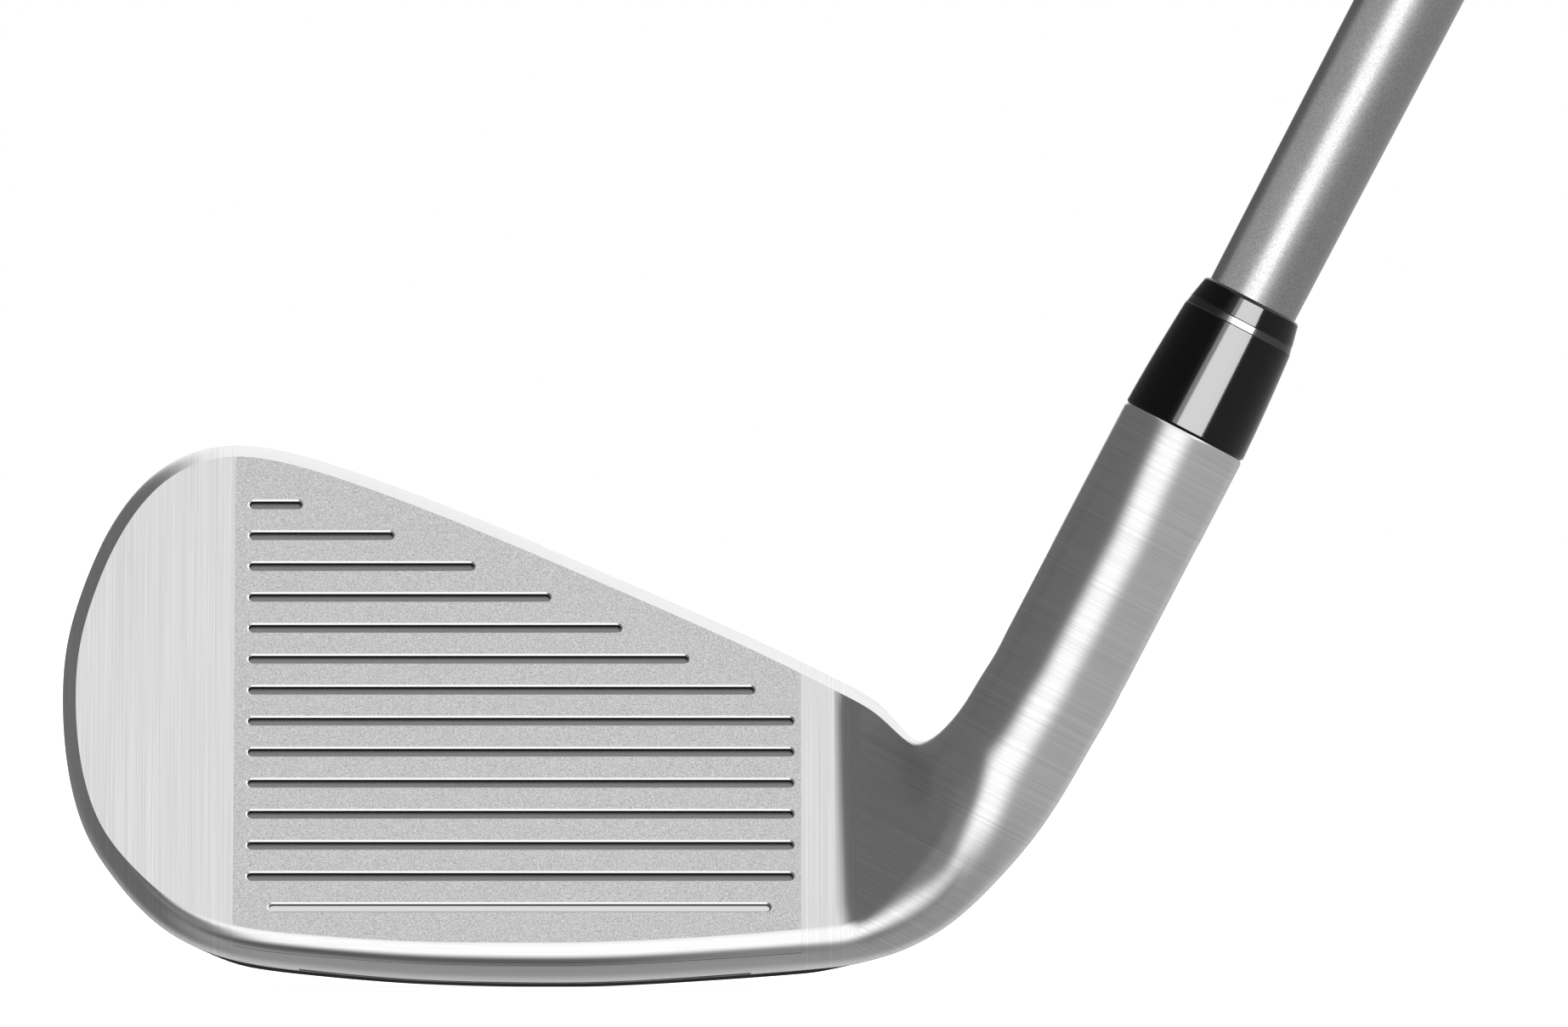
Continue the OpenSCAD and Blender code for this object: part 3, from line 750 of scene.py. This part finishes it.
@dataclass
class ScoreLines:
    """The score lines cut across the face plate, in mm."""

    top_z: float = 48.1
    pitch: float = 3.6
    width: float = 0.85
    depth: float = 0.45
    rim: float = 0.17
    draft: float = 0.06
    left: float = -29.2
    right: tuple[float, ...] = (-24, -14.8, -6.7, 0.9, 8, 14.7, 21.3, 25.2, 25.2, 25.2, 25.2, 25.2, 25.2)
    foot: tuple[float, float] = (-27.0, 22.9)
    foot_depth: float = 0.3
    round_steps: int = 24

    def rows(self) -> list[tuple[float, float, float, float]]:
        """Returns height up the face, left end, right end and depth of each line."""
        first = (self.top_z - ADDRESS.face_foot) / math.cos(ADDRESS.loft)
        out = [(first - i * self.pitch, self.left, x, self.depth) for i, x in enumerate(self.right)]
        out.append((first - len(self.right) * self.pitch, *self.foot, self.foot_depth))
        return out

    def cutter(self) -> bpy.types.Object:
        """Builds one cutter for all lines, each with a chamfered rim, steep walls and a flat floor."""
        bm = bmesh.new()
        r, steep = self.width / 2, math.tan(ADDRESS.loft)
        for v, left, right, depth in self.rows():
            profile = [(r + 2.5 * self.rim, 1.5 * self.rim * steep), (r, -self.rim * steep),
                       (r - self.draft, -depth)]
            rings = []
            for radius, z in profile:
                ring = []
                for k in range(2 * self.round_steps):
                    a = -math.pi / 2 + math.pi * (k % self.round_steps) / (self.round_steps - 1)
                    side = 1 if k < self.round_steps else -1
                    end = right - r if side > 0 else left + r
                    ring.append(Vector((end + side * radius * math.cos(a),
                                        v + side * radius * math.sin(a), z)))
                rings.append(ring)
            loft(bm, rings)
        cap_end(bm)
        return finish_mesh(bm, "score_cutter", ADDRESS.on_face)


@dataclass
class Head:
    """The cast body and everything fixed to it. All sizes are in mm."""

    skin: HeadSkin = field(default_factory=HeadSkin)
    hosel: Hosel = field(default_factory=Hosel)
    lines: ScoreLines = field(default_factory=ScoreLines)
    # Facets along an edge profile's half, points across face and back, sections per station.
    fine: tuple[int, int, int] = (12, 10, 8)
    coarse: tuple[int, int, int] = (6, 5, 3)
    plate_t: float = 1.6
    seam: float = 0.05
    plate_x: tuple[float, float] = (-30.6, 26.0)
    plate_stations: tuple[float, float] = (4.6, 12.1)
    hollow_top: tuple[float, float] = (6.2, 10.7)
    hollow_low: tuple[float, float] = (5.7, 11.2)
    hollow_wall: tuple[float, float] = (4.8, 10.4)
    hollow_round: float = 2.4
    ledge_w: float = 1.8
    cap_gap: float = 0.12
    cap_t: float = 2.0
    bar_y: tuple[float, float] = (-3.0, 3.0)
    bar_ends: tuple[float, float] = (4.5, 12.3)
    bar_h: float = 2.6
    bar_drop: float = 0.35
    bar_rise: float = 0.8
    bar_gap: float = 0.04
    slot_x: tuple[float, float] = (-24.0, 21.0)
    slot_y: tuple[float, float] = (-6.6, -5.4)
    slot_z: tuple[float, float] = (-1.0, 6.0)
    badge_at: tuple[float, float] = (-1.0, 18.5)
    badge_size: tuple[float, float] = (34.0, 12.0)
    badge_round: float = 3.0
    badge_proud: float = 0.4
    badge_sink: float = 0.9
    # Borders of the finishes: where the neck's brushing starts, how far back the front finishes
    # reach, where the top line's starts, and the lowest heights of the groove walls and floors with painted
    # shade.
    neck_x: float = 31.5
    front_reach: float = -7.0
    topline_z: float = 20.0
    wall_z: float = 7.0
    floor_z: float = 8.7
    line_reach: float = -0.6

    def plate_outline(self) -> list[Vector]:
        """Returns the plate's outline in the face's own frame, open past the leading edge."""
        toe_x, heel_x = self.plate_x
        upper = []
        for i in range(OUTLINE_STEPS + 1):
            u = mix(*self.plate_stations, i / OUTLINE_STEPS)
            p = self.skin.inset(u, self.skin.rim(u).z)
            upper.append(Vector((p.x, (p.y - ADDRESS.face_foot) / math.cos(ADDRESS.loft))))
        inside = [p for p in upper if toe_x < p.x < heel_x]

        def at_x(x: float) -> Vector:
            """Returns the point of the upper edge at x."""
            for a, b in zip(upper, upper[1:]):
                if a.x <= x <= b.x:
                    return mix(a, b, (x - a.x) / (b.x - a.x))
            raise ValueError(f"the plate's upper edge has no point at x = {x}")

        below = -20.0
        return [at_x(toe_x), *inside, at_x(heel_x), Vector((heel_x, below)), Vector((toe_x, below))]

    def hollow(self, grow: float) -> list[Vector]:
        """Returns the hollow's outline, or one that is "grow" mm wider all round, with round corners."""
        points = []
        for side, (start, end), wall, count in ((1, self.hollow_top, self.hollow_wall[0], 10),
                                                (-1, self.hollow_low, self.hollow_wall[1], 12)):
            row = []
            for i in range(count):
                p = self.skin.inset(side * mix(start, end, i / (count - 1)), wall - grow)
                p.x += -grow if i == 0 else grow if i == count - 1 else 0
                row.append(p)
            points += row if side > 0 else row[::-1]
        out = []
        for i, p in enumerate(points):
            a, b = points[i - 1] - p, points[(i + 1) % len(points)] - p
            is_corner = a.dot(b) > -0.9 * a.length * b.length
            if is_corner:
                start, end = p + a.normalized() * self.hollow_round, p + b.normalized() * self.hollow_round
                out += [mix(mix(start, p, k / 8), mix(p, end, k / 8), k / 8) for k in range(9)]
            else:
                out.append(p)
        return out

    def back_layer(self, name: str, grow: float, by: float, skin: bpy.types.Object) -> bpy.types.Object:
        """Returns a cutter behind the head's back, once that is moved towards the face by "by"."""
        cutter = prism(name, self.hollow(grow), 0, 60, FROM_FRONT)
        inner = copy_of(skin, "inner", Vector((0, -by, 0)))
        carve(cutter, Cut.REMOVE, inner)
        discard(inner)
        return cutter

    def bar_outline(self, gap: float) -> list[Vector]:
        """Returns the black bar's outline seen from the front, "gap" mm wider all round."""
        low, high = [], []
        start, end = self.bar_ends
        for i in range(OUTLINE_STEPS + 1):
            u = mix(start, end, i / OUTLINE_STEPS)
            share = ease((u - start) / self.bar_rise) * ease((end - u) / self.bar_rise)
            p = self.skin.inset(-u, -self.bar_drop * share - gap)
            low.append(Vector((p.x, max(p.y, 0.0))))
            high.append(self.skin.inset(-u, self.bar_h + gap))
        return low + high[::-1]

    def build(self) -> None:
        """Builds and dresses the head's pieces."""
        body = self.whole("head_casting", self.fine, True)
        coarse = self.whole("coarse_skin", self.coarse, False)
        plate_room = prism("plate_room", self.plate_outline(), -self.plate_t, 4, ADDRESS.on_face)
        seat = prism("seat", self.plate_outline(), -self.plate_t - self.seam, 4, ADDRESS.on_face)
        cap_room = self.back_layer("cap_room", self.ledge_w, self.cap_t + 0.3, coarse)
        cap_block = self.back_layer("cap_block", self.ledge_w - self.cap_gap, self.cap_t, coarse)
        front, back = self.bar_y
        bar_room = prism("bar_room", self.bar_outline(self.bar_gap), front - self.bar_gap,
                         back + self.bar_gap, FROM_FRONT)
        (x0, x1), (y0, y1) = self.slot_x, self.slot_y
        slot_box = prism("slot_box", [(x0, y0), (x1, y0), (x1, y1), (x0, y1)], *self.slot_z)
        plate, cap, filler = (copy_of(body, name) for name in
                              ("scored_face_plate", "moulded_back_cap", "slot_filler"))
        carve(plate, Cut.KEEP, plate_room)
        score = self.lines.cutter()
        carve(plate, Cut.REMOVE, score)
        carve(cap, Cut.KEEP, cap_block)
        carve(filler, Cut.KEEP, slot_box)
        for cutter in (seat, cap_room, bar_room, slot_box):
            carve(body, Cut.REMOVE, cutter)
        discard(plate_room, seat, cap_room, cap_block, bar_room, slot_box, score, coarse)
        dress(body, "cast_steel_brushed", ["head_body"],
              FACE_BRUSHED, TOPLINE_SATIN, NECK_BRUSHED, BODY_SATIN)
        dress(plate, "steel_blasted", ["face_plate"],
              PLATE_BLASTED, GROOVE_FLOOR_PAINTED_SHADE, TOPLINE_SATIN, GROOVE_WALL_PAINTED_SHADE)
        self.zone_body(body)
        self.zone_plate(plate)
        dress(cap, "black_polymer", ["back_cap"], CAP_POLYMER)
        dress(filler, "black_elastomer", ["sole_slot_insert"], ELASTOMER)
        bar = prism("black_sole_bar", self.bar_outline(0), front, back, FROM_FRONT)
        dress(bar, "black_plated_bar", ["rear_sole_bar"], BAR_PLATED)
        self.build_badge()

    def whole(self, name: str, facets: tuple[int, int, int], with_hosel: bool) -> bpy.types.Object:
        """Builds the head's closed skin, with or without its turned hosel."""
        steps, span, _ = facets
        bm = self.skin.build(*facets)
        if with_hosel:
            self.hosel.extend(bm, self.skin, steps, span)
        bmesh.ops.remove_doubles(bm, verts=bm.verts, dist=1e-4)
        cap_end(bm)
        return finish_mesh(bm, name)

    @staticmethod
    def is_flat(face: bpy.types.MeshPolygon, distance: float) -> bool:
        """Says whether a face belongs to the flat front, which it then keeps flat."""
        flat = abs(distance) < 0.01 and face.normal.dot(ADDRESS.face_normal) > 0.99
        face.use_smooth = not flat
        return flat

    def zone_body(self, body: bpy.types.Object) -> None:
        """Says which part of the body's skin has which finish: an index into its four."""
        for face in body.data.polygons:
            p = face.center / MM
            distance = ADDRESS.face_distance(p)
            in_front = distance > self.front_reach
            if self.is_flat(face, distance):
                face.material_index = 0
            elif p.x > self.neck_x:
                face.material_index = 2
            elif not self.plate_x[0] <= p.x <= self.plate_x[1]:
                face.material_index = 0 if in_front else 3
            else:
                face.material_index = 1 if in_front and p.z > self.topline_z else 3

    def zone_plate(self, plate: bpy.types.Object) -> None:
        """Says which part of the plate is blasted, groove floor with painted shade, leading edge, or groove
        wall with painted shade.
        """
        for face in plate.data.polygons:
            p = face.center / MM
            distance = ADDRESS.face_distance(p)
            facing = face.normal.dot(ADDRESS.face_normal)
            in_line = distance > self.line_reach
            if self.is_flat(face, distance):
                face.material_index = 0
            # Steep groove walls get the near-black colour that paints shade inside the score lines.
            elif in_line and p.z > self.wall_z and facing < 0.5:
                face.material_index = 3
            # Groove floors get the darker grey that paints shade inside the score lines.
            elif in_line and p.z > self.floor_z and facing > 0.9:
                face.material_index = 1
            else:
                face.material_index = 2

    def build_badge(self) -> None:
        """Builds the plain badge on the back cap: a slab with bevelled edges and a sunk field."""
        x, z = self.badge_at
        lean = math.atan((self.skin.back_y(z + 4) - self.skin.back_y(z - 4)) / 8)
        place = Matrix.Translation((x, self.skin.back_y(z) + self.badge_proud, z)) @ \
            Matrix.Rotation(math.pi / 2 - lean, 4, "X")
        w, h = self.badge_size[0] / 2, self.badge_size[1] / 2
        bm = bmesh.new()
        outline = []
        for quarter, (sx, sz) in enumerate(((1, 1), (-1, 1), (-1, -1), (1, -1))):
            for i in range(9):
                a = math.pi / 2 * (quarter + i / 8)
                outline.append(bm.verts.new((
                    sx * (w - self.badge_round) + self.badge_round * math.cos(a),
                    sz * (h - self.badge_round) + self.badge_round * math.sin(a), 0)))
        top = bm.faces.new(outline)
        made = bmesh.ops.extrude_face_region(bm, geom=[top])["geom"]
        depth = self.badge_sink + self.badge_proud - 0.3
        sunk = [v for v in made if isinstance(v, bmesh.types.BMVert)]
        bmesh.ops.translate(bm, verts=sunk, vec=(0, 0, depth))
        bmesh.ops.recalc_face_normals(bm, faces=bm.faces)
        outer = min(bm.faces, key=lambda f: f.normal.z)
        bmesh.ops.inset_region(bm, faces=[outer], thickness=0.25, depth=0.12)
        bmesh.ops.inset_region(bm, faces=[outer], thickness=0.9, depth=0.0)
        bmesh.ops.inset_region(bm, faces=[outer], thickness=0.15, depth=-0.15)
        bmesh.ops.translate(bm, verts=bm.verts, vec=(0, 0, 0.12))
        badge = finish_mesh(bm, "nickel_badge", place)
        dress(badge, "nickel_badge", ["badge_plate"], BADGE_NICKEL)


# ---------------------------------------------------------------- ferrule and shaft

FERRULE_PIECES = ("gloss_collar", "trim_ring", "gloss_shoulder")


@dataclass
class Ferrule:
    """The black ferrule with its trim ring, in mm. Heights are above the hosel."""

    hosel_s: float = 62.4
    length: float = 14.8
    below_ring: float = 11.65
    ring_l: float = 0.75
    foot_d: float = 13.0
    ring_d: float = 11.7
    top_d: float = 10.3
    bulge: float = 0.3
    top_round: float = 0.5
    bore_d: float = 9.4
    edge: float = 0.06
    foot_round: float = 0.4

    def radius(self, h: float) -> float:
        """Returns the ferrule's outer radius at height h."""
        if h < self.below_ring:
            swell = self.bulge * 4 * h * (self.below_ring - h) / (2 * self.below_ring) ** 2
            return mix(self.foot_d, self.ring_d, h / self.below_ring) / 2 + swell
        return mix(self.ring_d, self.top_d, (h - self.below_ring) / (self.length - self.below_ring)) / 2

    def sleeve(self, name: str, low: float, high: float, sink: float = 0.0, steps: int = 12,
               foot: float | None = None, top_round: float | None = None) -> bpy.types.Object:
        """Turns the ferrule's outline from height low to height high, with rounded rims."""
        foot, top = foot or self.edge, top_round or self.edge
        inner = self.bore_d / 2
        foot_r, top_r = self.radius(low) - sink, self.radius(high - top) - sink
        arc = [math.pi / 2 * i / 8 for i in range(1, 9)]
        profile = [(inner, low), (foot_r - foot, low)]
        profile += [(foot_r - foot * (1 - math.sin(a)), low + foot * (1 - math.cos(a))) for a in arc[:-1]]
        heights = [mix(low + foot, high - top, i / steps) for i in range(steps + 1)]
        profile += [(self.radius(h) - sink, h) for h in heights]
        profile += [(top_r - top * (1 - math.cos(a)), high - top + top * math.sin(a)) for a in arc]
        profile.append((inner, high))
        return turned(name, [(r, self.hosel_s + h) for r, h in profile])

    def build(self) -> None:
        """Builds and dresses the collar, the trim ring and the top."""
        ring_top = self.below_ring + self.ring_l
        dress(self.sleeve("gloss_collar", 0, self.below_ring, foot=self.foot_round),
              "gloss_black_ferrule", ["ferrule_collar"], FERRULE_GLOSS)
        dress(self.sleeve("trim_ring", self.below_ring, ring_top, sink=0.04, steps=2), "ferrule_ring",
              ["ferrule_ring"], FERRULE_METAL)
        dress(self.sleeve("gloss_shoulder", ring_top, self.length, steps=4, top_round=self.top_round),
              "gloss_black_ferrule", ["ferrule_top"], FERRULE_GLOSS)


@dataclass
class Shaft:
    """The tapering tube, in mm. Heights are along the shaft from the ground."""

    tip_s: float = 30.7
    ferrule_top_s: float = 77.2
    lower_s: float = 250.0
    butt_taper_s: float = 652.0
    butt_s: float = 935.0
    tip_d: float = 9.4
    lower_d: float = 11.4
    butt_d: float = 15.2
    tip_wall: float = 2.0
    butt_wall: float = 1.2

    def build(self) -> None:
        """Builds and dresses the tube."""
        outer = [(self.tip_d / 2, self.tip_s), (self.tip_d / 2, self.ferrule_top_s)]
        outer += self.between(self.ferrule_top_s, self.tip_d, self.lower_s, self.lower_d, 8)
        outer += self.between(self.lower_s, self.lower_d, self.butt_taper_s, self.butt_d, 16)
        outer += [(self.butt_d / 2, self.butt_s)]
        inner = [(self.butt_d / 2 - self.butt_wall, self.butt_s),
                 (self.butt_d / 2 - self.butt_wall, self.butt_taper_s),
                 (self.lower_d / 2 - self.tip_wall, self.lower_s),
                 (self.tip_d / 2 - self.tip_wall, self.ferrule_top_s),
                 (self.tip_d / 2 - self.tip_wall, self.tip_s)]
        tube = turned("painted_shaft", outer + inner)
        dress(tube, "silver_shaft_paint", ["shaft_tube"], SHAFT_PAINT)

    @staticmethod
    def between(s0: float, d0: float, s1: float, d1: float, count: int) -> Profile:
        """Returns points along a straight taper, without its first one."""
        return [(mix(d0, d1, i / count) / 2, mix(s0, s1, i / count)) for i in range(1, count + 1)]


@dataclass
class Grip:
    """The slip-on rubber grip and its end cap, in mm."""

    mouth_s: float = 672.0
    club_l: float = 940.0
    cap_l: float = 6.0
    lip_l: float = 3.0
    mouth_d: float = 18.4
    cap_d: float = 26.42
    core_d: float = 15.5
    vent_d: float = 3.6
    facets: int = 64
    row_l: float = 1.6
    recess: float = 0.35
    recess_rim: float = 0.18
    patterned: tuple[float, float] = (0.03, 0.95)       # share of the sleeve's length with recesses
    plain_bands: tuple[tuple[float, float], ...] = ((0.47, 0.50), (0.70, 0.72))

    def diameter(self, share: float) -> float:
        """Returns the grip's outer diameter at this share of its length."""
        return mix(self.mouth_d, self.cap_d, 0.62 * share + 0.38 * share ** 3)

    def build(self) -> None:
        """Builds and dresses the sleeve and the cap."""
        dress(self.sleeve(), "grip_rubber", ["grip_sleeve"], GRIP_RUBBER)
        dress(self.cap(), "grip_cap_rubber", ["grip_cap"], CAP_RUBBER)

    def sleeve(self) -> bpy.types.Object:
        """Builds the sleeve, with rows of small recesses moulded into it."""
        start, end = self.mouth_s + self.lip_l, self.club_l - self.cap_l
        rows = round((end - start) / self.row_l)
        profile = [(self.core_d / 2, self.mouth_s), (self.mouth_d / 2 - 0.3, self.mouth_s),
                   (self.mouth_d / 2, self.mouth_s + 0.6)]
        profile += [(self.diameter(i / rows) / 2, mix(start, end, i / rows)) for i in range(rows + 1)]
        profile.append((self.core_d / 2, end))
        bm = bmesh.new()
        verts = [bm.verts.new((r, 0, s)) for r, s in profile]
        for a, b in zip(verts, verts[1:] + [verts[0]]):
            bm.edges.new((a, b))
        bmesh.ops.spin(bm, geom=bm.verts[:] + bm.edges[:], cent=(0, 0, 0), axis=(0, 0, 1),
                       angle=2 * math.pi, steps=self.facets, use_merge=True)
        bmesh.ops.recalc_face_normals(bm, faces=bm.faces)
        chosen = [f for f in bm.faces if self.is_recess(f.calc_center_median(), start, end)]
        bmesh.ops.inset_individual(bm, faces=chosen, thickness=self.recess_rim, depth=-self.recess)
        return finish_mesh(bm, "moulded_grip", ADDRESS.on_shaft, crease=40)

    def is_recess(self, p: Vector, start: float, end: float) -> bool:
        """Says whether the facet at p is pressed in: a staggered pattern that leaves plain bands."""
        radius = math.hypot(p.x, p.y)
        share = (p.z - start) / (end - start)
        if radius < self.mouth_d / 2 - 0.5 or not self.patterned[0] < share < self.patterned[1]:
            return False
        row = int((p.z - start) / self.row_l)
        column = int((math.atan2(p.y, p.x) % (2 * math.pi)) / (2 * math.pi) * self.facets)
        is_plain = any(low < share < high for low, high in self.plain_bands)
        return not is_plain and (column + 2 * (row // 2 % 2)) % 4 < 2 and row % 2 == 0

    def cap(self) -> bpy.types.Object:
        """Turns the end cap, with two shallow rings round its vent hole."""
        low, core = self.club_l - self.cap_l, self.club_l - 5
        r, vent = self.cap_d / 2, self.vent_d / 2
        profile = [(self.core_d / 2, low), (r, low)]
        profile += [(r - 2.5 * (1 - math.cos(a)), self.club_l - 3 + 2.5 * math.sin(a))
                    for a in (math.pi / 2 * i / 8 for i in range(9))]
        for ring_r in (9.0, 6.5):
            profile += [(ring_r + 0.5, self.club_l - 0.45), (ring_r + 0.3, self.club_l - 0.8),
                        (ring_r - 0.3, self.club_l - 0.8), (ring_r - 0.5, self.club_l - 0.4)]
        profile += [(vent + 0.3, self.club_l - 0.05), (vent, self.club_l - 0.3), (vent, core),
                    (self.core_d / 2, core)]
        return turned("grip_end_cap", profile)


def dress_inner_nodes() -> None:
    """Gives the CAD nodes that stay, all of them inside the club, their finishes."""
    for node, finish in (("toe_weight", TUNGSTEN), ("face_damper", ELASTOMER), ("cap_adhesive", FOAM_TAPE),
                         ("badge_tape", FOAM_TAPE), ("hosel_epoxy", EPOXY), ("tip_weight", BRASS),
                         ("tip_plug", PLUG_FOAM), ("grip_tape", GRIP_TAPE)):
        dress_node(node, finish)


# ---------------------------------------------------------------- studio

@dataclass(frozen=True)
class Card:
    """One soft card of the studio: a region of directions that has its own brightness.

    Each edge is an axis, the value at which the card starts to show, and the value at which it is full.
    """

    level: float
    edges: tuple[tuple[str, float, float], ...]


@dataclass(frozen=True)
class Strip:
    """A softbox along the shaft that lights only the pieces that it is turned on for."""

    name: str
    middle_deg: float                   # where its reflection lies, as a turn round the shaft
    half_deg: float                     # and how far that spreads to each side
    radiance: float
    pieces: tuple[str, ...]
    distance: float = 0.6
    height: float = 0.7


@dataclass
class Studio:
    """The pale floor, the light and the camera."""

    picture_w: float = 156.4            # width of the view at the club, mm
    centre_x: float = 24.3
    centre_z: float = 47.2
    lens: float = 1000.0
    sensor: float = 36.0
    clip_end: float = 100.0             # metres, like floor_half
    floor_half: float = 60.0
    floor_gap: float = 0.02             # mm below the sole, so that they don't share a plane
    floor_glow: float = 0.85
    heel_level: float = 0.47
    ferrule_s: float = 70.0
    cards: tuple[Card, ...] = (
        Card(0.17, (("X", 0.32, -0.22),)),                                          # dark toe side
        Card(0.15, (("Y", 0.0, 0.3), ("Z", 0.1, 0.3), ("X", -0.66, -0.92))),        # its far end
        Card(0.26, (("Z", 0.2, -0.25), ("X", -0.3, -0.5), ("Y", -0.2, -0.5))),      # its low front
        Card(0.36, (("Z", -0.5, -0.9),)),                                           # floor
        Card(0.62, (("Y", 0.55, 0.95), ("Z", 0.05, -0.3), ("X", -0.5, -0.1))),      # low behind
        Card(0.12, (("Z", -0.6, -0.86), ("Y", 0.15, -0.3), ("X", 0.16, 0.06))),     # dark low front
        Card(1.0, (("Y", 0.7, 0.92), ("Z", -0.02, 0.1), ("X", -0.3, -0.12))),       # light behind
        Card(0.95, (("Z", 0.2, 0.5), ("X", -0.42, -0.05))),                         # overhead
        Card(1.1, (("Z", 0.2, 0.5), ("X", -0.36, -0.02), ("Y", 0.1, 0.6))),         # its far end
        Card(1.5, (("Z", 0.3, 0.5), ("X", 0.45, 0.62))),                            # its heel side
        Card(1.33, (("Y", 0.0, -0.3), ("Z", -0.9, -0.46), ("Z", 0.88, 0.42),        # round the camera
                    ("X", -0.52, -0.14), ("X", 0.6, 0.16))),
    )
    strips: tuple[Strip, ...] = (
        Strip("ferrule_softbox", 6.5, 24.5, 19, FERRULE_PIECES),
        Strip("ferrule_side_softbox", -22.5, 4.5, 5, FERRULE_PIECES),
        Strip("shaft_softbox", -9, 18, 2.15, ("painted_shaft",)),
        Strip("shaft_side_softbox", -65, 40, 0.55, ("painted_shaft",)),
    )

    def build(self) -> None:
        """Builds the floor, the world, the softboxes and the camera."""
        self.build_floor()
        self.build_world()
        for strip in self.strips:
            self.build_strip(strip)
        self.build_camera()
        bpy.context.scene.view_settings.view_transform = "Standard"

    def build_strip(self, strip: Strip) -> None:
        """Builds a softbox whose reflection runs along the shaft or the ferrule."""
        turn = math.radians(strip.middle_deg)
        middle = ADDRESS.on_shaft @ Vector((0, 0, self.ferrule_s)) * MM
        axes = ADDRESS.on_shaft.to_3x3()
        towards = (axes @ Vector((math.sin(turn), -math.cos(turn), 0))).normalized()
        along = (axes @ Vector((0, 0, 1))).normalized()
        width = 2 * strip.distance * math.tan(math.radians(strip.half_deg))
        data = bpy.data.lights.new(strip.name, "AREA")
        data.shape = "RECTANGLE"
        data.size, data.size_y = width, strip.height
        data.energy = strip.radiance * math.pi * width * strip.height
        light = bpy.data.objects.new(strip.name, data)
        bpy.context.scene.collection.objects.link(light)
        facing = Matrix((along.cross(towards), along, towards)).transposed().to_4x4()
        light.matrix_world = Matrix.Translation(middle + towards * strip.distance) @ facing
        light.visible_camera = False
        light.visible_diffuse = False
        lit = bpy.data.collections.new(strip.name)
        for name in strip.pieces:
            lit.objects.link(bpy.data.objects[name])
        light.light_linking.receiver_collection = lit

    def build_floor(self) -> None:
        """Lays a plain pale floor that only the camera sees, so the metal mirrors the cards alone."""
        bm = bmesh.new()
        bmesh.ops.create_grid(bm, x_segments=4, y_segments=4, size=self.floor_half)
        bmesh.ops.translate(bm, verts=bm.verts, vec=(0, 0, -self.floor_gap * MM))
        mesh = bpy.data.meshes.new("floor")
        bm.to_mesh(mesh)
        bm.free()
        floor = bpy.data.objects.new("floor", mesh)
        bpy.context.scene.collection.objects.link(floor)
        material, _, shader = new_material("matt_white_paper_floor")
        shader.inputs["Base Color"].default_value = linear(STAGE_WHITE)
        shader.inputs["Roughness"].default_value = 1.0
        shader.inputs["Specular IOR Level"].default_value = 0.0
        shader.inputs["Emission Color"].default_value = (1, 1, 1, 1)
        shader.inputs["Emission Strength"].default_value = self.floor_glow
        mesh.materials.append(material)
        floor.visible_glossy = False
        floor.visible_diffuse = False

    def build_world(self) -> None:
        """Surrounds the club with soft cards: dark at the toe side, mid grey at the heel side."""
        world = bpy.data.worlds.new("studio")
        bpy.context.scene.world = world
        world.use_nodes = True
        tree = world.node_tree
        way = add_node(tree, "TexCoord").outputs["Generated"]
        axes = add_node(tree, "SeparateXYZ", {"Vector": way}).outputs
        level: float | bpy.types.NodeSocket = self.heel_level
        for card in self.cards:
            share: float | bpy.types.NodeSocket = 1.0
            for axis, start, full in card.edges:
                edge = add_node(tree, "MapRange", {"Value": axes[axis], "From Min": start, "From Max": full},
                                interpolation_type="SMOOTHSTEP").outputs[0]
                share = add_node(tree, "Math", {0: share, 1: edge}, operation="MULTIPLY").outputs[0]
            level = add_node(tree, "Mix", {"Factor": share, 2: level, 3: card.level},
                             data_type="FLOAT").outputs[0]
        seen = add_node(tree, "LightPath").outputs["Is Camera Ray"]
        level = add_node(tree, "Mix", {"Factor": seen, 2: level, 3: 1.0}, data_type="FLOAT").outputs[0]
        tree.links.new(level, tree.nodes["Background"].inputs["Strength"])
        tree.nodes["Background"].inputs["Color"].default_value = (1, 1, 1, 1)

    def build_camera(self) -> None:
        """Sets a level long-lens camera that looks along +Y."""
        data = bpy.data.cameras.new("camera")
        data.lens = self.lens
        data.sensor_width = self.sensor
        data.clip_end = self.clip_end
        camera = bpy.data.objects.new("camera", data)
        bpy.context.scene.collection.objects.link(camera)
        distance = self.picture_w * self.lens / self.sensor
        camera.location = Vector((self.centre_x, -distance, self.centre_z)) * MM
        camera.rotation_euler = (math.pi / 2, 0, 0)
        bpy.context.scene.camera = camera


def main() -> None:
    """Builds the club and the studio."""
    logging.basicConfig(level=logging.INFO, format="%(name)s: %(message)s")
    Head().build()
    Ferrule().build()
    Shaft().build()
    Grip().build()
    dress_inner_nodes()
    Studio().build()


if __name__ == "__main__":
    main()
